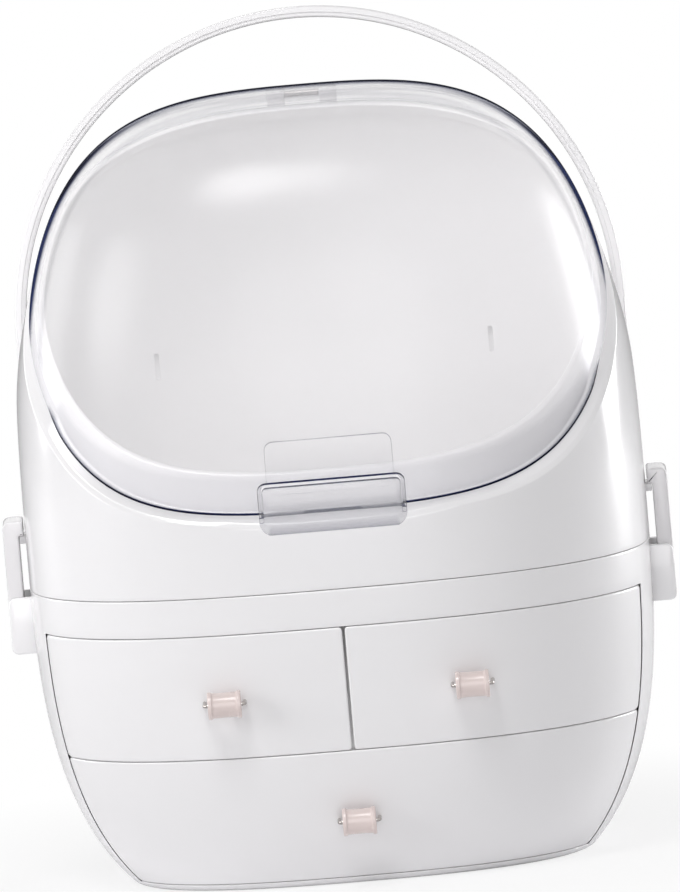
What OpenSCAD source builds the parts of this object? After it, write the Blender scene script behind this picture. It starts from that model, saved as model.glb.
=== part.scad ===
// Egg-shaped dustproof makeup organizer: a drawer case below, an open compartment above it under a
// clear hinged lid, a bow handle that folds back and two side latches that hold the cases together.
// X runs to the right, Y to the back and Z up. The front faces -Y and the base stands on z = 0.

/* [Egg body] */
// Width of the body at its widest section
body_w = 280; // [264:2:300]
// Depth of the body at its widest section
body_d = 210; // [200:2:226]
// Width that the same outline has on the ground
base_w = 208; // [196:2:220]
// Height of the widest section
mid_z = 150; // [145:1:156]
// Height of the crown of the lid
lid_top = 350; // [342:1:360]
// Squareness of the plan outline, where 2 is an ellipse
plan_n = 2.6; // [2.3:0.1:2.9]
// Squareness of the side outline below the widest section
low_n = 3; // [2.8:0.1:3.2]
// Squareness of the side outline above the widest section
high_n = 3.3; // [3.1:0.1:3.5]
// Wall of the two cases
wall = 2.6; // [2:0.2:3.2]
// Floor of each case
floor_t = 3; // [2.4:0.2:3.6]

/* [Cases] */
// Height of the seam between the lower and the upper case
seam_z = 136; // [133:1:140]
// Height of the plain rail between the seam and the upper drawers
rail_h = 16.8; // [14:0.2:19]
// Height of the joint between the upper drawers and the wide one
drawer_seam_z = 62.8; // [60:0.2:66]
// Width of the frame beside the drawer fronts, seen from the front
frame_w = 6; // [5:0.5:8]
// Thickness of the deck over the drawers
deck_t = 2.4; // [2:0.2:3]
// Thickness of the shelf and the divider between the drawers
shelf_t = 2.4; // [2:0.2:3]

/* [Rim and neck] */
// Height of the rim of the compartment at the front
rim_front_z = 170; // [166:1:174]
// Angle at which the rim rises to the back
rim_angle = 46; // [44:0.5:48]
// How far the rim dips below that line near the front
rim_dip = 5; // [0:0.5:7]
// Length of that dip from front to back
rim_dip_len = 60; // [50:1:70]
// Height of the neck that stands inside the lid
neck_h = 17; // [14:0.5:20]
// Height of the neck beside the hinge
neck_back_h = 2.5; // [1.5:0.5:4]
// Thickness of the neck
neck_t = 2; // [1.6:0.2:2.4]
// Width of the ledge that shows outside the lid
ledge_w = 4; // [3:0.5:5]
// Chamfer on the outer edge of the rim
rim_edge = 1.3; // [0.6:0.1:1.8]
// Height at which the ledge starts to narrow
ledge_z0 = 215; // [205:1:225]
// Height at which the lid and the case lie flush
ledge_z1 = 285; // [275:1:295]
// Distance of the slots in the back wall from the middle
slot_x = 76; // [66:1:84]
// Height of the middle of those slots
slot_z = 219; // [210:1:235]
// Height of those slots
slot_h = 12; // [8:1:16]
// Width of those slots
slot_w = 2.2; // [1.6:0.2:4]

/* [Lid] */
// Wall of the clear lid
lid_t = 2.4; // [2:0.2:2.8]
// Gap between the lid and the neck, and under its edge
lid_gap = 0.6; // [0.5:0.1:0.9]
// Width of the finger grip on the lid
grip_w = 66; // [50:1:80]
// Height of the finger grip
grip_h = 22.5; // [18:0.5:28]
// How far the grip hangs below the rim
grip_drop = 6.5; // [5:0.5:9]
// How far the grip stands out from the case
grip_out = 8; // [6:0.5:11]
// Corner radius of the grip
grip_r = 5; // [3:0.5:7]
// Width of the plate above the grip
plate_w = 57; // [44:1:64]
// Height of the plate above the grip
plate_h = 18; // [12:0.5:22]

/* [Lid hinge] */
// How far the hinge axis lies outside the rim at the back
hinge_off = 4.2; // [4:0.1:5]
// Radius of the hinge barrels
barrel_r = 3.4; // [3:0.1:3.5]
// Radius of the hinge pin
hinge_pin_r = 1.5; // [1.2:0.1:1.8]
// Half the width of the middle barrel
barrel_mid = 7.5; // [5:0.5:18]
// Width of each outer barrel
barrel_side = 8; // [5:0.5:20]

/* [Handle] */
// Gap between the arms and the case beside them
bow_gap = 0.8; // [0.6:0.1:2]
// Thickness of the band
band_t = 5; // [4:0.2:6]
// Width of the band
band_w = 14; // [11:0.5:16]
// Height of the underside of the bow over the crown of the lid
bow_rise = 23.2; // [18:0.2:30]
// Lean of the handle at rest
handle_tilt = 7.6; // [6:0.2:10]
// Distance of the pivots in front of the back of the case
pivot_in = 47; // [43:0.5:49]
// Height of the pivots
pivot_z = 175; // [170:1:180]
// Radius of the round ends of the arms
pivot_end_r = 9; // [8:0.5:11]
// Radius of the pivot studs
stud_r = 2.5; // [2:0.1:3]
// Radius of the heads of the studs
stud_head_r = 5; // [4:0.25:6]
// Thickness of the heads of the studs
stud_head_t = 1.5; // [1:0.1:1.6]

/* [Side latches] */
// Height of the latch pins
latch_z = 112.5; // [110:0.5:115]
// Distance from the latch pins to the tops of the latches
latch_h = 54; // [51:0.5:58]
// Thickness of the latch strip
latch_t = 7; // [5.5:0.25:8]
// Gap between the case and the latch strip
latch_gap = 3; // [2.6:0.1:4]
// Width of the latch
latch_w = 22; // [18:1:28]
// Radius of the barrel at the foot of the latch
latch_barrel_r = 4.4; // [4:0.1:5]
// Radius of the latch pins
latch_pin_r = 1.5; // [1.2:0.1:1.8]
// Thickness of the ears that hold the latch pins
ear_t = 4; // [3:0.25:5]
// Distance from the tops of the ears to the seam
ear_gap = 3.5; // [2:0.5:12]
// How far the ears reach below the latch pins
ear_drop = 5.5; // [5:0.25:8]
// Corner radius of the ears
ear_r = 3; // [1.5:0.25:4]
// Height of the catch under the hook of the latch
catch_h = 3.5; // [2.5:0.25:5]
// Height of the hook
hook_h = 6.6; // [5.5:0.2:8]
// Rounding of the top of the latch
latch_r = 3; // [1.5:0.25:3.5]

/* [Drawers] */
// Thickness of the drawer fronts
front_t = 3; // [2.6:0.1:3.6]
// Gap around each drawer front
front_gap = 0.6; // [0.5:0.1:0.9]
// Wall of the drawer trays
tray_t = 2; // [1.6:0.1:2.4]
// Gap between a tray and what it slides in
tray_gap = 0.5; // [0.4:0.1:0.8]
// Half the width of the two upper trays together
tray_half_w = 111; // [100:1:113]
// Place of the back of the upper trays
tray_back = 61; // [50:1:63]
// Half the width of the floor of the wide tray
wide_floor_w = 88; // [80:1:92]
// Half the width of the top of the wide tray
wide_top_w = 106; // [96:1:108]
// Place of the back of the wide tray at its floor
wide_floor_back = 38; // [30:1:42]
// Place of the back of the wide tray at its top
wide_top_back = 54; // [44:1:57]
// How far the upper trays stay below the deck
tray_low = 14; // [10:1:24]

/* [Pulls] */
// Distance of the upper pulls from the middle
pull_x = 55.5; // [48:0.5:62]
// Height of the upper pulls
pull_z = 89; // [84:1:96]
// Height of the pull of the wide drawer
wide_pull_z = 31; // [26:1:36]
// Length of the roller grip
pull_len = 15; // [12:0.5:15.5]
// Radius of the roller grip
pull_r = 6.25; // [5:0.25:7]
// Radius of the wire
wire_r = 0.9; // [0.7:0.05:1.1]
// Gap between an end of the roller grip and the leg of the wire beside it
wire_gap = 0.6; // [0.4:0.1:2]
// How far the roller axis stands in front of the drawer
pull_out = 9; // [8:0.5:12]
// Radius of the push nuts on the wire
nut_r = 3; // [2.4:0.1:3.5]

/* [Hidden] */

$fn = 48;
plan_steps = 56;   // columns around a case or the lid
wall_steps = 9;    // levels up the wall of a case
dome_steps = 12;   // levels from the edge of the lid to its crown
edge_steps = 8;    // points up the side of a drawer front
fit = 0.05;        // running clearance of a pin in its bore
seat = 0.3;        // clearance of a piece that sits in another
clear = 0.8;       // clearance beside a moving piece
grip_wall = 2;     // wall of the clear grip
lap = 0.5;         // overlap that joins two forms of one piece
far = 400;         // longer than anything here

crown_t = 8;       // the rim stays this far under the crown
neck_sink = 2;     // the inside of the neck starts this far under the chamfer of the rim
wall_sink = 8;     // the wall has its full thickness this far under the chamfer
tray_corner = 12;  // corner radius of the back of the wide tray
tray_drop = 1;     // how far the wide tray stays below the gap under the shelf
roller_band = 1.6; // width of the raised bands at the ends of a roller grip
roller_dent = 0.5; // height and chamfer of those bands
nut_t = 1.2;       // thickness of a push nut
leg_end = 1;       // how far the legs of the wire reach through the nuts
plate_t = 1.2;     // how far the plate above the grip stands out
plate_r = 4;       // corner radius of that plate
boss_sink = 4;     // how deep the bosses of the handle reach into the compartment
stud_floor = 1.5;  // material at the inner end of the bores in the bosses
pin_shift = 1;     // how far the latch pins lie inside the middle of the strips
pin_skin = 1;      // material over the ends of the latch pins
catch_side = 3;    // how much narrower than the latch its catch is, on each side
web_r = 1.2;       // edge radius of the hinge webs
web_root = 6.5;    // how far under the rim the outer webs meet the case
web_in = 4.5;      // how far in front of the rim the middle web meets the lid
web_up = 2.6;      // how far above the rim it does so

half_w = body_w / 2;
half_d = body_d / 2;
low_r = mid_z / pow(1 - pow(base_w / body_w, low_n), 1 / low_n);
high_r = lid_top + ledge_w - mid_z;
lid_out = -ledge_w;
lid_in = lid_out - lid_t;
neck_out = lid_in - lid_gap;
neck_in = neck_out - neck_t;
bay_top = seam_z - rail_h;
bay_floor = floor_t;
shelf_z = drawer_seam_z - shelf_t / 2;
bay_y = -half_d / 4; // the drawer opening and the fronts are cut from the wall up to here

pivot_y = half_d - pivot_in;
wire_span = pull_len + 2 * (wire_gap + wire_r);
bend_r = wire_gap + wire_r - fit;
latch_in = half_w + latch_gap;
latch_out = latch_in + latch_t;
latch_x = latch_in + latch_t / 2 - pin_shift;
ear_y = latch_w / 2 + seat;
pin_end = ear_y + ear_t - pin_skin;
catch_z = latch_z + latch_h - hook_h - catch_h - seat;

// Superellipse power that keeps the sign
function spow(v, e) = sign(v) * pow(abs(v), e);
// A smooth step from 0 to 1
function smooth(t) = let (u = min(1, max(0, t))) u * u * (3 - 2 * u);
// Share of the full width at height z of the surface that lies off outside the body
function share(z, off) = z < mid_z
    ? pow(max(0, 1 - pow((mid_z - z) / (low_r + off), low_n)), 1 / low_n)
    : pow(max(0, 1 - pow((z - mid_z) / (high_r + off), high_n)), 1 / high_n);
// Point of that surface at plan angle a and a given share of the width
function at_share(a, z, off, s) = [
    (half_w + off) * s * spow(cos(a), 2 / plan_n),
    (half_d + off) * s * spow(sin(a), 2 / plan_n),
    z
];
function egg(a, z, off) = at_share(a, z, off, share(z, off));
// The front surface: its y at a given x and z
function front_y(x, z, off) = let (s = share(z, off))
    -(half_d + off) * s * pow(1 - pow(abs(x) / ((half_w + off) * s), plan_n), 1 / plan_n);
// The case wall draws in to the lid where the ledge narrows
function case_off(z) = -ledge_w * smooth((z - ledge_z0) / (ledge_z1 - ledge_z0));

// Half the width of the case at height z, a distance y from the middle
function side_x(y, z) = let (s = share(z, 0))
    half_w * s * pow(1 - pow(abs(y) / (half_d * s), plan_n), 1 / plan_n);

// The bow clears the case beside the pivots and the crown of the lid under its top
bow_in = side_x(pivot_y - pivot_end_r, pivot_z) + bow_gap;
bow_r = bow_in + band_t;
arm_len = (lid_top + bow_rise - pivot_z) / cos(handle_tilt) - bow_in;
boss_out = bow_in - seat;
boss_in = side_x(pivot_y, pivot_z) - wall - boss_sink;
stud_in = boss_in + stud_floor;

// Height of the rim at a distance y from the middle, in side view
rim_y = -half_d + ledge_w;
function rim_z(y) = let (t = min(1, max(0, (y - rim_y) / rim_dip_len)))
    rim_front_z + tan(rim_angle) * (y - rim_y) - rim_dip * 27 / 4 * t * (1 - t) * (1 - t);
// Height of the neck above the rim
function neck_rise(y) = neck_back_h + (neck_h - neck_back_h) * (1 - smooth((y + half_d / 10) / (2 * half_d / 3)));
// Height at which a surface meets the rim, found by halving; up raises the rim
function meet(a, off, up, lo = mid_z, hi = lid_top - crown_t, n = 22) =
    let (m = (lo + hi) / 2, y = egg(a, m, off(m))[1])
    n == 0 ? m
    : m < rim_z(y) + up(y) ? meet(a, off, up, m, hi, n - 1)
    : meet(a, off, up, lo, m, n - 1);

// Plan angles of the columns, counter-clockwise from the right
angles = [for (i = [0 : plan_steps - 1]) i * 360 / plan_steps];

// Joins columns of points into one closed solid: each column runs up the outside and down the inside.
// With two tips the ends of the columns close on them, without tips each column is a closed loop.
// Without ring the columns are an open row, whose first and last loops are closed flat.
module skin(cols, tips = [], ring = true) {
    n = len(cols);
    m = len(cols[0]);
    open = len(tips) == 2;
    points = concat([for (c = cols) each c], tips);
    quads = [
        for (i = [0 : ring ? n - 1 : n - 2])
            for (j = [0 : open ? m - 2 : m - 1])
                let (
                    p = i * m + j,
                    q = i * m + (j + 1) % m,
                    r = ((i + 1) % n) * m + (j + 1) % m,
                    s = ((i + 1) % n) * m + j
                )
                each [[p, q, r], [p, r, s]]
    ];
    ends = open
        ? [
            for (i = [0 : n - 1])
                each [
                    [n * m, i * m, ((i + 1) % n) * m],
                    [n * m + 1, ((i + 1) % n) * m + m - 1, i * m + m - 1]
                ]
        ]
        : [];
    last = (n - 1) * m;
    caps = ring
        ? []
        : [
            for (k = [0 : m / 2 - 2])
                each [
                    [k, m - 1 - k, m - 2 - k],
                    [k, m - 2 - k, k + 1],
                    [last + k, last + m - 2 - k, last + m - 1 - k],
                    [last + k, last + k + 1, last + m - 2 - k]
                ]
        ];
    polyhedron(points, concat(quads, ends, caps), convexity = 10);
}

// A round bar along a path that lies flat, with a formula for the ring at each point
module swept_bar(path, r, sides) {
    n = len(path);
    way = [for (i = [0 : n - 1]) let (d = path[min(i + 1, n - 1)] - path[max(i - 1, 0)]) d / norm(d)];
    skin(
        [
            for (k = [0 : sides - 1])
                [for (i = [0 : n - 1]) path[i] + r * (cos(360 * k / sides) * [-way[i][1], way[i][0], 0]
                    + sin(360 * k / sides) * [0, 0, 1])]
        ],
        [path[0], path[n - 1]]
    );
}

// A plain egg slice, solid, between two heights
module egg_slice(off, z0, z1, steps) {
    skin(
        [for (a = angles) [for (k = [0 : steps]) let (z = z0 + (z1 - z0) * k / steps) egg(a, z, off)]],
        [[0, 0, z0], [0, 0, z1]]
    );
}

// The front half of the egg's wall between two heights, t thick
module egg_front(t, z0, z1, steps) {
    skin(
        [
            for (i = [plan_steps / 2 : plan_steps])
                let (a = i * 360 / plan_steps)
                concat(
                    [for (k = [0 : steps]) egg(a, z0 + (z1 - z0) * k / steps, 0)],
                    [for (k = [steps : -1 : 0]) egg(a, z0 + (z1 - z0) * k / steps, -t)]
                )
        ],
        ring = false
    );
}

// A flat plate with the egg's plan outline
module egg_plate(z, t, front_off, back_off) {
    translate([0, 0, z])
        linear_extrude(t)
            polygon([
                for (a = angles)
                    let (p = egg(a, z, sin(a) < 0 ? front_off : back_off))
                    [p[0], p[1]]
            ]);
}

// A shape drawn in X and Z, extruded along Y from y0 to y1
module across(y0, y1) {
    translate([0, y1, 0])
        rotate([90, 0, 0])
            linear_extrude(y1 - y0)
                children();
}

// A cylinder along X between two places
module rod_x(r, x0, x1, y, z) {
    translate([x0, y, z])
        rotate([0, 90, 0])
            cylinder(r = r, h = x1 - x0);
}

// A cylinder along Y between two places
module rod_y(r, x, y0, y1, z) {
    translate([x, y1, z])
        rotate([90, 0, 0])
            cylinder(r = r, h = y1 - y0);
}

// A rectangle with round corners, centred
module rounded(w, h, r) {
    square([w - 2 * r, h], center = true);
    square([w, h - 2 * r], center = true);
    for (i = [-1, 1])
        for (j = [-1, 1])
            translate([i * (w / 2 - r), j * (h / 2 - r)])
                circle(r);
}

// Half the width of the drawer opening at height z
function bay_half(z) = half_w * share(z, 0) - frame_w;

// Outline of the drawer opening or of a front in it, drawn in X and Z
module bay_outline(z0, z1, gap, x_in = 0) {
    right = [for (k = [0 : edge_steps]) let (z = z0 + (z1 - z0) * k / edge_steps) [bay_half(z) - gap, z]];
    left = x_in > 0
        ? [[x_in, z1], [x_in, z0]]
        : [for (k = [edge_steps : -1 : 0]) [-right[k][0], right[k][1]]];
    polygon(concat(right, left));
}

// The lower case: an egg cup with a deck, a drawer opening and the ears of the latches
module lower_case() {
    column = function(a) concat(
        [for (k = [0 : wall_steps]) egg(a, seam_z * k / wall_steps, 0)],
        [for (k = [wall_steps : -1 : 0]) egg(a, bay_floor + (seam_z - bay_floor) * k / wall_steps, -wall)]
    );
    color("whitesmoke")
        difference() {
            union() {
                skin([for (a = angles) column(a)], [[0, 0, 0], [0, 0, bay_floor]]);
                egg_plate(bay_top, deck_t, -wall / 2, -wall / 2);
                for (i = [-1, 1])
                    latch_ears(i);
            }
            across(-far, bay_y)
                bay_outline(bay_floor, bay_top, 0);
            for (i = [-1, 1])
                rod_y(latch_pin_r + fit, i * latch_x, -pin_end, pin_end, latch_z);
        }
}

// The two ears on one side that hold a latch pin
module latch_ears(side) {
    scale_x(side)
        for (j = [-1, 1])
            across(min(j * ear_y, j * (ear_y + ear_t)), max(j * ear_y, j * (ear_y + ear_t)))
                ear_outline();
}

// An ear in front view: a block on the case wall with round outer corners
module ear_outline() {
    w = latch_out - half_w + wall / 2;
    h = seam_z - ear_gap - latch_z + ear_drop;
    translate([latch_out - w / 2, latch_z - ear_drop + h / 2]) {
        rounded(w, h, ear_r);
        translate([-w / 2, -h / 2])
            square([w / 2, h]);
    }
}

// Shelf and divider that carry the drawers
module drawer_frame() {
    divider_y = front_y(shelf_t / 2, shelf_z + shelf_t, -front_t - clear);
    color("gainsboro") {
        egg_plate(shelf_z, shelf_t, -front_t - clear, -wall - seat);
        translate([-shelf_t / 2, divider_y, shelf_z + shelf_t])
            cube([shelf_t, tray_back + wall - divider_y, bay_top - shelf_z - shelf_t]);
    }
}

// One drawer front, cut from the egg's own wall
module drawer_front(z0, z1, side) {
    intersection() {
        egg_front(front_t, z0 - lap, z1 + lap, edge_steps);
        scale_x(side)
            across(-far, bay_y)
                bay_outline(z0, z1, front_gap, abs(side) * front_gap);
    }
}

// Mirrors a shape to the left for side -1
module scale_x(side) {
    if (side < 0)
        mirror([1, 0, 0])
            children();
    else
        children();
}

// Holes in a drawer front for the legs of one pull
module leg_holes(x, z) {
    for (i = [-1, 1])
        rod_y(wire_r + fit, x + i * wire_span / 2, -far / 2, 0, z);
}

// One of the two upper drawers: side is -1 for the left one and 1 for the right one
module upper_drawer(side) {
    z0 = shelf_z + shelf_t + tray_gap;
    z1 = bay_top - tray_low;
    x0 = shelf_t / 2 + tray_gap;
    color("white")
        difference() {
            union() {
                drawer_front(drawer_seam_z + front_gap / 2, bay_top - front_gap, side);
                intersection() {
                    egg_slice(-front_t / 2, z0 - lap, z1 + lap, 3);
                    difference() {
                        tray_box(side * x0, side * tray_half_w, -half_d, tray_back, z0, z1);
                        tray_box(
                            side * (x0 + tray_t), side * (tray_half_w - tray_t),
                            -half_d - lap, tray_back - tray_t, z0 + tray_t, z1 + lap
                        );
                    }
                }
            }
            leg_holes(side * pull_x, pull_z);
        }
}

// A block between two corners
module tray_box(xa, xb, ya, yb, za, zb) {
    translate([min(xa, xb), ya, za])
        cube([abs(xb - xa), yb - ya, zb - za]);
}

// The tapered inside or outside of the wide tray
module wide_tray_form(inset, z0, z1) {
    hull() {
        translate([0, 0, z0])
            tray_plan(wide_floor_w - inset, wide_floor_back - inset);
        translate([0, 0, z1])
            tray_plan(wide_top_w - inset, wide_top_back - inset);
    }
}

// A thin plan outline with round back corners
module tray_plan(w, back) {
    for (i = [-1, 1])
        translate([i * (w - tray_corner), back - tray_corner, 0])
            cylinder(r = tray_corner, h = 0.01, $fn = 32);
    translate([-w, -half_d, 0])
        cube([2 * w, 1, 0.01]);
}

// The wide drawer at the bottom
module drawer_wide() {
    z0 = bay_floor + tray_gap;
    z1 = shelf_z - tray_gap - tray_drop;
    color("white")
        difference() {
            union() {
                drawer_front(bay_floor + front_gap / 2, drawer_seam_z - front_gap / 2, 0);
                intersection() {
                    egg_slice(-front_t / 2, z0 - lap, z1 + lap, 6);
                    difference() {
                        wide_tray_form(0, z0, z1);
                        translate([0, 0, tray_t])
                            wide_tray_form(tray_t, z0, z1);
                    }
                }
            }
            leg_holes(0, wide_pull_z);
        }
}

module drawer_left() { upper_drawer(-1); }
module drawer_right() { upper_drawer(1); }

// Y of the roller axis of a pull at x and z
function roller_y(x, z) = front_y(x, z, 0) - pull_out;

// The roller grip of one pull, with raised end bands
module pull_grip(x, z) {
    end = pull_len / 2;
    waist = pull_r - roller_dent;
    color("mistyrose")
        translate([x, roller_y(x, z), z])
            rotate([0, 90, 0])
                rotate_extrude()
                    difference() {
                        polygon([
                            [0, -end], [waist, -end],
                            [pull_r, roller_dent - end], [pull_r, roller_band - end],
                            [waist, roller_band + roller_dent - end], [waist, end - roller_band - roller_dent],
                            [pull_r, end - roller_band], [pull_r, end - roller_dent],
                            [waist, end], [0, end]
                        ]);
                        translate([-lap, -pull_len])
                            square([lap + wire_r + fit, 2 * pull_len]);
                    }
}

// The bent wire of one pull: an axle, two bends and two legs that reach through the push nuts
module pull_wire(x, z) {
    y = roller_y(x, z);
    leg = [for (i = [-1, 1]) x + i * wire_span / 2];
    end = [for (i = [0, 1]) nut_y(leg[i], z) + nut_t + leg_end];
    turn = [0 : 22.5 : 90];
    color("silver")
        swept_bar(
            concat(
                [[leg[0], end[0], z]],
                [for (u = turn) [leg[0] + bend_r * (1 - cos(u)), y + bend_r * (1 - sin(u)), z]],
                [for (u = turn) [leg[1] - bend_r * (1 - sin(u)), y + bend_r * (1 - cos(u)), z]],
                [[leg[1], end[1], z]]
            ),
            wire_r, 10
        );
}

// Y of the front face of a push nut: just behind the inside of the drawer front
function nut_y(x, z) = let (i = x < 0 ? -1 : 1)
    max(front_y(x - i * nut_r, z - nut_r, -front_t), front_y(x - i * nut_r, z + nut_r, -front_t),
        front_y(x + i * nut_r, z - nut_r, -front_t), front_y(x + i * nut_r, z + nut_r, -front_t)) + seat / 2;

// The two push nuts of one pull
module pull_nuts(x, z) {
    color("silver")
        for (i = [-1, 1]) {
            leg_x = x + i * wire_span / 2;
            difference() {
                rod_y(nut_r, leg_x, nut_y(leg_x, z), nut_y(leg_x, z) + nut_t, z);
                rod_y(wire_r + fit, leg_x, -far / 2, 0, z);
            }
        }
}

module pull_grip_left() { pull_grip(-pull_x, pull_z); }
module pull_grip_right() { pull_grip(pull_x, pull_z); }
module pull_grip_wide() { pull_grip(0, wide_pull_z); }
module pull_wire_left() { pull_wire(-pull_x, pull_z); }
module pull_wire_right() { pull_wire(pull_x, pull_z); }
module pull_wire_wide() { pull_wire(0, wide_pull_z); }
module pull_nuts_left() { pull_nuts(-pull_x, pull_z); }
module pull_nuts_right() { pull_nuts(pull_x, pull_z); }
module pull_nuts_wide() { pull_nuts(0, wide_pull_z); }

// The upper case: an egg cup with a slanting rim, a ledge for the lid and a neck inside it
module upper_case() {
    none = function(y) 0;
    rise = function(y) neck_rise(y);
    skin_off = function(z) case_off(z);
    ledge_off = function(z) case_off(z) - rim_edge;
    neck_out_off = function(z) neck_out;
    neck_in_off = function(z) neck_in;
    inner_off = function(z) case_off(z) - wall;
    column = function(a)
        let (
            z_rim = meet(a, skin_off, none) - rim_edge,
            z_ledge = meet(a, ledge_off, none),
            z_foot = meet(a, neck_out_off, none),
            z_neck = meet(a, neck_out_off, rise),
            z_neck_in = meet(a, neck_in_off, rise),
            z_foot_in = meet(a, neck_in_off, none) - rim_edge - neck_sink,
            z_in = meet(a, inner_off, none) - rim_edge - wall_sink,
            floor_z = seam_z + floor_t
        )
        concat(
            [for (k = [0 : wall_steps]) let (z = seam_z + (z_rim - seam_z) * k / wall_steps) egg(a, z, case_off(z))],
            [
                egg(a, z_ledge, ledge_off(z_ledge)),
                egg(a, z_foot, neck_out),
                egg(a, (z_foot + z_neck) / 2, neck_out),
                egg(a, z_neck, neck_out),
                egg(a, z_neck_in, neck_in),
                egg(a, (z_foot_in + z_neck_in) / 2, neck_in),
                egg(a, z_foot_in, neck_in)
            ],
            [
                for (k = [wall_steps : -1 : 0])
                    let (z = floor_z + (z_in - floor_z) * k / wall_steps)
                    egg(a, z, inner_off(z))
            ]
        );
    color("whitesmoke")
        difference() {
            union() {
                skin([for (a = angles) column(a)], [[0, 0, seam_z], [0, 0, seam_z + floor_t]]);
                for (i = [-1, 1]) {
                    latch_catch(i);
                    rod_x(pivot_end_r - 1, min(i * boss_in, i * boss_out), max(i * boss_in, i * boss_out),
                        pivot_y, pivot_z);
                    hinge_side(i);
                }
            }
            for (i = [-1, 1]) {
                translate([i * slot_x, half_d, slot_z])
                    cube([slot_w, 2 * half_d, slot_h], center = true);
                rod_x(stud_r + fit, min(i * stud_in, i * far / 2), max(i * stud_in, i * far / 2), pivot_y, pivot_z);
            }
            rod_x(hinge_pin_r + fit, -far / 2, far / 2, hinge_y, hinge_z);
        }
}

// The catch under the hook of a latch
module latch_catch(side) {
    translate([side * (half_w - wall / 2 + latch_in - seat) / 2, 0, catch_z + catch_h / 2])
        cube([latch_in - seat - half_w + wall / 2, latch_w - 2 * catch_side, catch_h], center = true);
}

// Hinge axis: outside the rim at the back, square to the surface there
back_z = meet(90, function(z) case_off(z), function(y) 0);
back_y = egg(90, back_z, case_off(back_z))[1];
back_dz = 0.5;
back_slope = (egg(90, back_z + back_dz, lid_out)[1] - egg(90, back_z - back_dz, lid_out)[1]) / (2 * back_dz);
hinge_y = back_y + hinge_off / sqrt(1 + back_slope * back_slope);
hinge_z = back_z - hinge_off * back_slope / sqrt(1 + back_slope * back_slope);

// One outer barrel of the lid hinge, with the web that carries it
module hinge_side(side) {
    x0 = barrel_mid + seat;
    x1 = x0 + barrel_side;
    xa = min(side * x0, side * x1);
    xb = max(side * x0, side * x1);
    root_z = back_z - web_root;
    root_y = egg(90, root_z, -ledge_w - wall)[1] + web_r;
    rod_x(barrel_r, xa, xb, hinge_y, hinge_z);
    hull() {
        rod_x(web_r, xa, xb, hinge_y, hinge_z - barrel_r + web_r, $fn = 32);
        rod_x(web_r, xa, xb, root_y, root_z, $fn = 32);
        rod_x(web_r, xa, xb, hinge_y + 1, hinge_z - 1, $fn = 32);
    }
}

// The clear lid: a dome whose edge follows the rim, with a finger grip and the middle hinge barrel
module lid() {
    edge = function(y) lid_gap;
    out_off = function(z) lid_out;
    in_off = function(z) lid_in;
    // Side angle of the dome, from 0 at the widest section to 90 at the crown
    dome_angle = function(z, off) asin(pow((z - mid_z) / (high_r + off), high_n / 2));
    arc = function(a, off, z_edge) let (u0 = dome_angle(z_edge, off))
        [
            for (k = [0 : dome_steps - 1])
                let (u = u0 + (90 - u0) * k / dome_steps)
                at_share(a, mid_z + (high_r + off) * pow(sin(u), 2 / high_n), off, pow(cos(u), 2 / high_n))
        ];
    column = function(a)
        let (
            outer = arc(a, lid_out, meet(a, out_off, edge)),
            inner = arc(a, lid_in, meet(a, in_off, edge))
        )
        concat([for (k = [dome_steps - 1 : -1 : 0]) inner[k]], outer);
    color("lightsteelblue", 0.4)
        difference() {
            union() {
                skin(
                    [for (a = angles) column(a)],
                    [[0, 0, mid_z + high_r + lid_in], [0, 0, mid_z + high_r + lid_out]]
                );
                lid_grip();
                rod_x(barrel_r, -barrel_mid, barrel_mid, hinge_y, hinge_z);
                hull() {
                    rod_x(web_r, -barrel_mid, barrel_mid, hinge_y, hinge_z + barrel_r - web_r, $fn = 32);
                    rod_x(web_r, -barrel_mid, barrel_mid, hinge_y - 1, hinge_z + web_r, $fn = 32);
                    rod_x(web_r, -barrel_mid, barrel_mid, back_y - web_in, back_z + web_up, $fn = 32);
                }
            }
            rod_x(hinge_pin_r + fit, -far / 2, far / 2, hinge_y, hinge_z);
        }
}

// The finger grip, open below, and the plate above it
module lid_grip() {
    y_out = -half_d - grip_out;
    y_lid = rim_y + lid_t / 2;
    z0 = rim_front_z - grip_drop;
    z_mid = z0 + grip_h / 2;
    difference() {
        across(y_out, y_lid)
            translate([0, z_mid])
                rounded(grip_w, grip_h, grip_r);
        across(y_out + grip_wall, y_lid + lap)
            translate([0, z_mid - grip_wall])
                rounded(grip_w - 2 * grip_wall, grip_h, grip_r - grip_wall / 2);
        translate([-far / 2, -half_d - clear, -far / 2 + rim_front_z + lid_gap])
            cube([far, far, far / 2]);
    }
    across(rim_y - plate_t, y_lid)
        translate([0, z0 + grip_h + plate_h / 2 - grip_r])
            rounded(plate_w, plate_h + grip_r, plate_r);
}

// The pin of the lid hinge
module lid_hinge_pin() {
    end = barrel_mid + seat + barrel_side;
    color("silver")
        rod_x(hinge_pin_r, -end, end, hinge_y, hinge_z);
}

// The bow handle, leaning back at rest
module handle() {
    color("white")
        translate([0, pivot_y, pivot_z])
            rotate([-handle_tilt, 0, 0])
                difference() {
                    union() {
                        across(-band_w / 2, band_w / 2)
                            bow_outline();
                        for (i = [-1, 1])
                            rod_x(pivot_end_r, i > 0 ? bow_r - band_t : -bow_r, i > 0 ? bow_r : band_t - bow_r, 0, 0);
                    }
                    rod_x(stud_r + fit, -far / 2, far / 2, 0, 0);
                }
}

// The bow in front view: a half ring on two straight arms
module bow_outline() {
    difference() {
        union() {
            translate([0, arm_len])
                circle(bow_r, $fn = 128);
            translate([-bow_r, 0])
                square([2 * bow_r, arm_len]);
        }
        translate([0, arm_len])
            circle(bow_r - band_t, $fn = 128);
        translate([-bow_r + band_t, -far])
            square([2 * (bow_r - band_t), far + arm_len]);
        translate([-far / 2, -far])
            square([far, far]);
    }
}

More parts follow.
